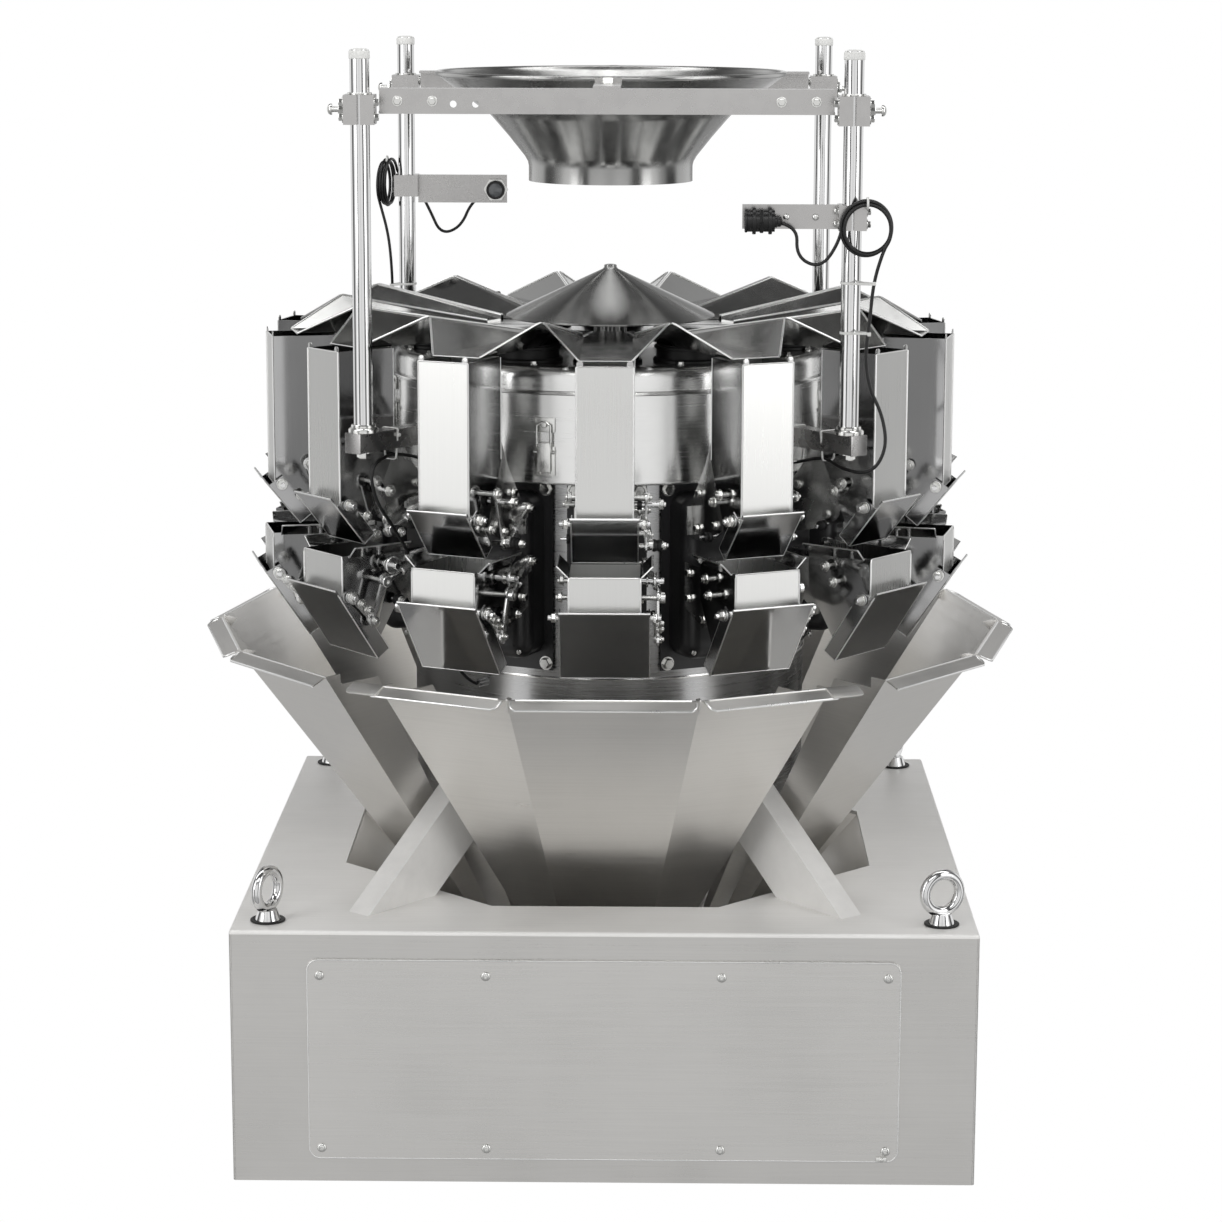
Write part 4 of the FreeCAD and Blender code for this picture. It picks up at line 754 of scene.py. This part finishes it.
edge.around().write("sheet_edges", "edge", slot="hopper_steel")
bolts.around().write("bolt_heads", "bolt", slot="chrome_fittings")
links.around().write("link_plates", "link", slot="hanger_steel")
hang.around().write("hanger_plates", "hanger", slot="hanger_steel")
rub.around().write("rubber_buffers", "rubber", slot="drive_rubber")
chrome.around().write("pivot_studs", "chrome", slot="chrome_fittings")

# ------------------------------------------------------------------ each gate: rim and boss in brighter steel as painted highlight, riding on it


def gate_trim(pin_r, pin_z, beta, off, lip, length, half, lip_half):
    b = math.radians(beta)
    s, c = math.sin(b), math.cos(b)

    def g(x, along, out):
        return at(x, pin_r + c * out - s * along, pin_z - s * out - c * along)
    k = Kit()
    k.tube([g(-lip_half + 0.6, -lip + 1, off - 0.4), g(lip_half - 0.6, -lip + 1, off - 0.4)], 1.4, 8)
    k.tube([g(-half + 0.8, length - 0.8, off - 0.8), g(half - 0.8, length - 0.8, off - 0.8)], 1.3, 8)
    for e in (-1, 1):
        k.tube([g(e * (half - 0.7), -lip + 8, off - 0.6), g(e * (half - 0.7), length - 1, off - 0.6)], 1.2, 6)
        k.tube([g(e * (half - 0.9), 21, off - 24), g(e * (half - 0.9), length - 0.6, off - 24)], 1.1, 6)
        k.tube([g(e * (half - 0.9), length - 0.6, off - 24), g(e * (half - 0.9), length - 0.6, off - 1)], 1.1, 6)
        k.ring(g(e * (half - 0.3), 0, 0), X * e, 8.6, 4.8, 1.2, 22)
    return k


trim_feed = gate_trim(528, 986.6, 39, 17.6, 29.8, 65.5, 48.5, 50)
trim_weigh = gate_trim(537.6, 851.3, 33.9, 15.8, 24.7, 109, 65.5, 66)
for n in range(14):
    for kind, trim in (("feed", trim_feed), ("weigh", trim_weigh)):
        trim.around([n]).write("%s_trim_%02d" % (kind, n + 1), "edge", body="%s_gate_%02d_body" % (kind, n + 1), slot="gate_steel")

# ------------------------------------------------------------------ chutes: rolled lips, gussets at the folds, end tabs
lips, tabs = Kit(), Kit()
W_LIP = 608 * tan - 5
for i in range(14):
    turn = Matrix.Rotation(-PITCH * i, 4, "Z")
    lo = hi = W_LIP - 9
    k, f = Kit(), Kit()
    ends = []
    if i in (1, 13):
        limit = 73.0 - 2
    elif i in (6, 8):
        limit = 73.0 - 2
    elif i in (2, 5, 9, 12):
        limit = 104.0 - 2
    else:
        limit = None
    side = {1: -1, 13: 1, 6: 1, 8: -1, 2: 1, 5: -1, 9: 1, 12: -1}.get(i)
    a = -(W_LIP - 8) if side != -1 else -limit
    b = (W_LIP - 8) if side != 1 else limit
    path = []
    if side != -1:
        path += [at(a - 7, 614, 742.6), at(a - 7, 621, 739.6), at(a - 4.6, 627, 736.6)]
    path += [at(a, 630.4, 734.6), at(b, 630.4, 734.6)]
    if side != 1:
        path += [at(b + 4.6, 627, 736.6), at(b + 7, 621, 739.6), at(b + 7, 614, 742.6)]
    k.tube(path, 1.9, 8)
    k.tube([at(a, 608, 745.2), at(b, 608, 745.2)], 1.2, 6)
    lips.add(k, turn)
    # gusset at the fold to the next panel, inside the rim
    if i not in (1, 5, 8, 12):
        corner = Matrix.Rotation(-PITCH * (i + 0.5), 4, "Z")
        rc = 608 / math.cos(math.pi / 14)
        f.plate([(rc - 26, 743), (rc - 9, 724), (rc - 2.5, 738), (rc - 2.5, 745.5), (rc - 12, 747)], 2.4, (0, 0, 0), OUT, UP, 0.5)
        f.rod(at(0, rc - 1.6, 745), at(0, rc - 14, 729), 1.7, 0.4, 8)
        tabs.add(f, corner)
    # the corner tab that closes the end of a front or rear lip
    if i in (1, 13, 6, 8):
        t = Kit()
        x0, x1 = side * (limit - 8), side * (limit + 44)
        pts = [(x0, 0), (x1 - side * 8, 0), (x1 - side * 2.3, -2.3), (x1, -8), (x1, -20), (x1 - side * 2.3, -25.7), (x1 - side * 8, -28), (x0, -28)]
        slope = Vector((0, -23, -9)).normalized()
        t.plate(pts, 2.4, at(0, 607, 746.4), X, -slope, 0.7)
        tabs.add(t, turn)
lips.write("chute_rolled_lips", "edge", slot="chute_steel")
tabs.write("chute_gussets", "chute", slot="chute_steel")

# ------------------------------------------------------------------ posts, arms, clamps, funnel
AZ = 1.5 * PITCH
PX, PY = 565 * math.sin(AZ), 565 * math.cos(AZ)
post_bits, caps, steelbits = Kit(), Kit(), Kit()
for az in (AZ, -AZ, math.pi - AZ, math.pi + AZ):
    turn = Matrix.Rotation(-az, 4, "Z")
    b, c, w = Kit(), Kit(), Kit()
    b.lathe([(13.5, 0), (21, 0), (22, 1), (22, 5), (20.4, 7), (18, 8.2), (18, 11), (17, 12.4), (13.5, 12.8)], at(0, 565, 1106), UP, 40)
    b.hexhead(at(0, 565, 1078), -UP, 18, 8, 13)
    b.hexhead(at(0, 400, 1106), UP, 12, 5, 9)
    w.lathe([(0, 14.6), (9, 14.2), (13.6, 12.4), (15.2, 9.6), (15.2, 0.8), (14.6, 0), (13.6, 0)], at(0, 565, 1642.5), UP, 40)
    c.box(at(0, 587, 1092), (30, 4, 30), 1.2)
    c.box(at(0, 353.5, 1092), (58, 5, 56), 1.4)
    for sx in (-1, 1):
        for sz in (-1, 1):
            b.hexhead(at(sx * 21, 356, 1092 + sz * 20), OUT, 10, 4.4, 7)
    post_bits.add(b, turn)
    caps.add(w, turn)
    steelbits.add(c, turn)
for sx in (-1, 1):
    for sy in (-1, 1):
        y = sy * (PY + 18)
        for z in (1560.5, 1581.5):
            post_bits.hexhead((sx * PX + 22, y, z), (1, 0, 0), 10, 5, 8)
            post_bits.hexhead((sx * PX - 22, y, z), (-1, 0, 0), 10, 5, 8)
        post_bits.ring((sx * PX, sy * PY, 1592), UP, 17.5, 13.8, 3, 40)
        post_bits.rod((sx * (PX + 20), sy * (PY - 2), 1571), (sx * (PX + 44), sy * (PY - 2), 1571), 4, 0.6, 16)
        post_bits.ring((sx * (PX + 22), sy * (PY - 2), 1571), (sx, 0, 0), 10, 4, 2, 24)
        post_bits.hexhead((sx * (PX + 24), sy * (PY - 2), 1571), (sx, 0, 0), 13, 7)
        post_bits.dome((sx * (PX + 40), sy * (PY - 2), 1571), (sx, 0, 0), 8, 7, 2, 20, False)
        steelbits.box((sx * 322, sy * 404, 1566), (10, 34, 4), 0.8)
for sx, sy, z in ((1, -1, 1420), (-1, 1, 1407)):
    for dz in (-9, 9):
        post_bits.hexhead((sx * PX + 20, sy * (PY + 15), z + dz), (1, 0, 0), 9, 4.4, 7)
        post_bits.hexhead((sx * PX - 20, sy * (PY + 15), z + dz), (-1, 0, 0), 9, 4.4, 7)
for s in (-1, 1):
    post_bits.hexhead((0, s * 322, 1604), UP, 15, 7, 11)
    post_bits.hexhead((0, s * 292, 1604), UP, 11, 5, 8)
    for x in (-300, -250, 250, 300):
        post_bits.hexhead((x, s * 424.2, 1582), (0, s, 0), 10, 4.6, 7.5)
post_bits.write("post_fittings", "bolt", slot="chrome_fittings")
caps.write("post_caps", "white", slot="black_plastic")
steelbits.write("arm_plates", "frame", slot="frame_steel")

# ------------------------------------------------------------------ sensors: nuts, glands, lenses
nuts, glass, dark = Kit(), Kit(), Kit()
for x in (209, 219.5, 232):
    dark.lathe([(15, 0), (18.6, 0), (19.2, 0.8), (19.2, 4.2), (18.6, 5), (15, 5)], (x, -457.5, 1415.5), X, 6 if x > 215 and x < 225 else 36)
dark.lathe([(15.5, 0), (16.6, 0.6), (16.6, 3.4), (15.5, 4), (13, 4), (12.6, 3), (12.6, 0)], (202, -457.5, 1415.5), -X, 40)
glass.lathe([(0, 2.4), (6, 2.1), (12.4, 0.6), (12.4, 0), (0, 0)], (202, -457.5, 1415.5), -X, 36)
dark.lathe([(0, 0), (8.6, 0), (8.6, 3), (7.4, 4), (7.4, 8), (5.6, 10), (3.4, 11), (0, 11)], (241, -457.5, 1414.6), X, 24)
for y in (431, 443):
    nuts.lathe([(14.6, 0), (20.2, 0), (20.8, 0.8), (20.8, 3.6), (20.2, 4.4), (14.6, 4.4)], (-201, y, 1400), (0, 1, 0), 6)
for y in (424.4, 427, 449, 452, 455, 458):
    dark.lathe([(14.8, 0), (15.7, 0.6), (15.7, 1.2), (14.8, 1.8)], (-201, y, 1400), (0, 1, 0), 36)
glass.lathe([(0, 1.8), (6, 1.6), (11.4, 0.4), (11.4, 0), (0, 0)], (-201, 424, 1400), (0, -1, 0), 36)
dark.lathe([(11.6, 0), (15, 0), (15.4, -1), (15.4, -2.4)], (-201, 423, 1400), (0, 1, 0), 36)
nuts.dome((258, -444.2, 1420), (0, -1, 0), 4.6, 3, 0.9, 20)
nuts.dome((300, -444.2, 1420), (0, -1, 0), 4.6, 3, 0.9, 20)
nuts.write("sensor_nuts", "bolt", slot="chrome_fittings")
glass.write("sensor_lenses", "lens", slot="black_plastic")
dark.write("sensor_rings", "black", slot="black_plastic")

# ------------------------------------------------------------------ white ties that hold the cables
ties = Kit()
ribbon(ties, band_about((PX, -PY, 0), 14.8, (375.5, -478.4, 0), 3.6, 1254, 3), 3.6, 1.3, UP)
ribbon(ties, band_about((PX, -PY, 0), 14.8, (381.5, -482.4, 0), 3.6, 1326, 2), 3.6, 1.3, UP)
ribbon(ties, band_about((-PX, PY, 0), 14.8, (-378.6, 438.6, 0), 3.6, 1240, -2), 3.6, 1.3, UP)
ties.box((377, -483, 1256), (5, 4.4, 5), 0.8)
ties.box((383, -487, 1329), (5, 4.4, 5), 0.8)
for cx, cy, cz in ((372, -477, 1442), (-386, 450, 1447)):
    ring_path = [(cx, cy + 11.5 * math.cos(2 * math.pi * i / 24), cz + 8.5 * math.sin(2 * math.pi * i / 24)) for i in range(24)]
    ribbon(ties, ring_path, 3.4, 1.3, X)
for az, r, z0, z1 in ((-AZ, 521, 1063, 1107.4), (AZ, 508, 1061, 1107.4), (math.pi - AZ, 521, 1063, 1107.4), (-AZ, 452, 1054, 1107.4), (math.pi - AZ, 452, 1054, 1107.4)):
    loop = []
    h = 15.0
    for cx, cz, a0 in ((h - 3, z1 - 3, 0), (-h + 3, z1 - 3, 90), (-h + 9, z0 + 5, 180), (h - 9, z0 + 5, 270)):
        for j in range(5):
            th = math.radians(a0 + 22.5 * j)
            rr = 3 if cz > 1090 else 5
            loop.append(at(cx + rr * math.cos(th), r, cz + rr * math.sin(th)))
    k = Kit()
    ribbon(k, loop, 3.6, 1.2, OUT)
    k.box(at(h + 1.4, r, 1098), (4.4, 5, 5), 0.8)
    ties.add(k, Matrix.Rotation(-az, 4, "Z"))
ties.write("cable_ties", "white", slot="black_plastic")

# ------------------------------------------------------------------ drum and column: latches, seams (the drum's cable glands are drawn with the drum above)
latch = Kit()
for az, z0 in ((15.2, 1030), (71.8, 1066), (-71.8, 1066), (164.8, 1030), (-108.2, 1066), (108.2, 1066)):
    k = Kit()
    k.box(at(0, 351.5, z0 + 20), (32, 3, 44), 1.0)
    k.box(at(0, 351.5, z0 + 74), (32, 3, 22), 1.0)
    k.box(at(0, 357, z0 + 26), (22, 5, 44), 1.8)
    k.rod(at(-16, 356, z0 + 34), at(16, 356, z0 + 34), 2.8, 0.5, 14)
    k.tube([at(-10.5, 357, z0 + 34), at(-10.5, 359, z0 + 60), at(-10.5, 358, z0 + 74), at(-3, 357, z0 + 79), at(3, 357, z0 + 79), at(10.5, 358, z0 + 74), at(10.5, 359, z0 + 60), at(10.5, 357, z0 + 34)], 1.7, 8)
    k.lathe([(0, 0), (5, 0), (5, 3.5), (4, 5), (0, 5.4)], at(0, 353, z0 + 75), OUT, 20)
    for s in (-1, 1):
        k.dome(at(s * 7, 353, z0 + 3), OUT, 2.6, 1.6, 0.5, 12)
    latch.add(k, az_turn(az))
latch.write("drum_latches", "bolt", slot="chrome_fittings")
seams = Kit()
for z in (1016.4, 1149.6):
    seams.lathe([(349.6, -1.3), (351.0, -1.0), (351.6, 0), (351.0, 1.0), (349.6, 1.3)], (0, 0, z), UP, 160)
for az in (6, 186):
    k = Kit()
    k.tube([at(0, 350, 1018), at(0, 350, 1148)], 1.0, 6)
    seams.add(k, az_turn(az))
for z in (480, 712):
    seams.lathe([(309, -2.4), (311, -2), (311.8, 0), (311, 2), (309, 2.4)], (0, 0, z), UP, 160)
seams.write("drum_seams", "drum", slot="drum_steel")

# ------------------------------------------------------------------ base: screws, washers under the eyes, borders of the covers, lug
screws, washers, border = Kit(), Kit(), Kit()
for x in (-417, -173, 173, 417):
    for z in (53.5, 319):
        screws.dome((x, -554, z), (0, -1, 0), 7.2, 4.6, 1.2)
        screws.dome((x, 554, z), (0, 1, 0), 7.2, 4.6, 1.2)
for y in (-450, -213, 213, 450):
    for z in (60, 322):
        for s in (-1, 1):
            screws.dome((s * 555, y, z), (s, 0, 0), 7.2, 4.6, 1.2)
screws.box((411, -555.5, 41), (16, 5, 8), 1.2)
screws.dome((411, -558, 41), (0, -1, 0), 3.4, 2.4, 0.6)
for sx in (-1, 1):
    for sy in (-1, 1):
        washers.lathe([(20, 0), (25, 0), (26, 0.8), (26, 2.2), (25, 3), (20, 3)], (sx * 498, sy * 496, 385), (0, 0, 1), 40)


def rounded(hw, z0, z1, r, n=8):
    out = []
    for cx, cz, a0 in ((hw - r, z1 - r, 0), (-hw + r, z1 - r, 90), (-hw + r, z0 + r, 180), (hw - r, z0 + r, 270)):
        for j in range(n + 1):
            th = math.radians(a0 + 90 * j / n)
            out.append((cx + r * math.cos(th), cz + r * math.sin(th)))
    return out


for s in (-1, 1):
    border.tube([(x, s * 553.4, z) for x, z in rounded(435, 37, 342, 16)], 1.3, 8, closed=True)
    border.tube([(s * 554.2, x, z) for x, z in rounded(489, 37, 342, 16)], 1.3, 8, closed=True)
screws.write("cover_screws", "bolt", slot="chrome_fittings")
washers.write("eye_washers", "rubber", slot="drive_rubber")
border.write("cover_borders", "edge", slot="cover_steel")

# ------------------------------------------------------------------ lights and sky


def area(name, where, target, w, h, radiance):
    li = bpy.data.lights.new(name, "AREA")
    li.shape = "RECTANGLE"
    li.size, li.size_y = w, h
    li.energy = radiance * math.pi * w * h
    ob = bpy.data.objects.new(name, li)
    scene.collection.objects.link(ob)
    ob.location = where
    d = Vector(target) - Vector(where)
    ob.rotation_euler = d.to_track_quat("-Z", "Y").to_euler()
    return ob


area("key_left", (-3.2, -3.0, 2.4), (0, 0, 0.9), 1.5, 3.0, 2.1)
area("key_right", (3.4, -2.8, 2.2), (0, 0, 0.9), 1.3, 3.0, 1.8)
area("top_left", (-1.5, -0.4, 3.8), (0, 0, 0.8), 0.9, 3.6, 3.0)
area("top_right", (1.5, -0.4, 3.8), (0, 0, 0.8), 0.9, 3.6, 3.0)
area("deck_wash", (0, -3.4, 3.6), (0, -0.3, 0.3), 2.6, 0.9, 3.4)

world = bpy.data.worlds.new("studio")
scene.world = world
world.use_nodes = True
nt = world.node_tree
nt.nodes.clear()


def wnode(kind, **values):
    n = nt.nodes.new(kind)
    for k, v in values.items():
        setattr(n, k, v)
    return n


def wramp(src, stops):
    r = wnode("ShaderNodeValToRGB")
    r.color_ramp.interpolation = "EASE"
    e = r.color_ramp.elements
    while len(e) > 1:
        e.remove(e[-1])
    for i, (p, v) in enumerate(stops):
        el = e[0] if i == 0 else e.new(p)
        el.position = p
        el.color = (v, v, v * 0.995, 1)
    nt.links.new(src, r.inputs[0])
    return r.outputs[0]


def wmath(a, b, op):
    n = wnode("ShaderNodeMath", operation=op)
    for i, v in enumerate((a, b)):
        if isinstance(v, (int, float)):
            n.inputs[i].default_value = v
        else:
            nt.links.new(v, n.inputs[i])
    return n.outputs[0]


tc = wnode("ShaderNodeTexCoord")
gr = wnode("ShaderNodeTexGradient", gradient_type="RADIAL")
nt.links.new(tc.outputs["Generated"], gr.inputs[0])
# 0.25 is the front, 0.5 the right, 0.75 the back, 0 and 1 the left
RING = [(0.0, 0.10), (0.03, 0.55), (0.07, 1.25), (0.115, 1.20), (0.135, 0.04), (0.155, 0.05), (0.175, 0.95), (0.215, 1.0), (0.25, 0.82), (0.285, 1.0), (0.325, 0.95), (0.345, 0.05), (0.365, 0.04),
        (0.385, 1.20), (0.43, 1.25), (0.47, 0.55), (0.50, 0.10), (0.53, 0.08), (0.56, 0.9), (0.64, 1.0), (0.70, 0.35), (0.75, 0.9), (0.80, 0.35), (0.86, 1.0), (0.94, 0.9), (0.97, 0.08), (1.0, 0.10)]
ring = wramp(gr.outputs["Fac"], RING)
sep = wnode("ShaderNodeSeparateXYZ")
nt.links.new(tc.outputs["Generated"], sep.inputs[0])
height = wmath(wmath(sep.outputs["Z"], 0.5, "MULTIPLY"), 0.5, "ADD")
much = wramp(height, [(0.0, 0.0), (0.25, 0.30), (0.40, 0.86), (0.50, 1.0), (0.68, 1.0), (0.80, 0.25), (0.90, 0.0)])
flat = wramp(height, [(0.0, 0.34), (0.30, 0.22), (0.42, 0.04), (0.50, 0.0), (0.72, 0.0), (0.82, 0.08), (0.90, 0.10), (1.0, 0.10)])
glow = wmath(wmath(ring, much, "MULTIPLY"), flat, "ADD")
bg = wnode("ShaderNodeBackground")
nt.links.new(glow, bg.inputs["Color"])
bg.inputs["Strength"].default_value = 1.0
white = wnode("ShaderNodeBackground")
white.inputs["Color"].default_value = (1, 1, 1, 1)
white.inputs["Strength"].default_value = 1.0
path = wnode("ShaderNodeLightPath")
pick = wnode("ShaderNodeMixShader")
wo = wnode("ShaderNodeOutputWorld")
nt.links.new(path.outputs["Is Camera Ray"], pick.inputs[0])
nt.links.new(bg.outputs[0], pick.inputs[1])
nt.links.new(white.outputs[0], pick.inputs[2])
nt.links.new(pick.outputs[0], wo.inputs[0])

scene.view_settings.view_transform = "Standard"
scene.view_settings.look = "None"
scene.view_settings.exposure = 0.0

{"cad": CAD_BOX, "visual": corners(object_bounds())}
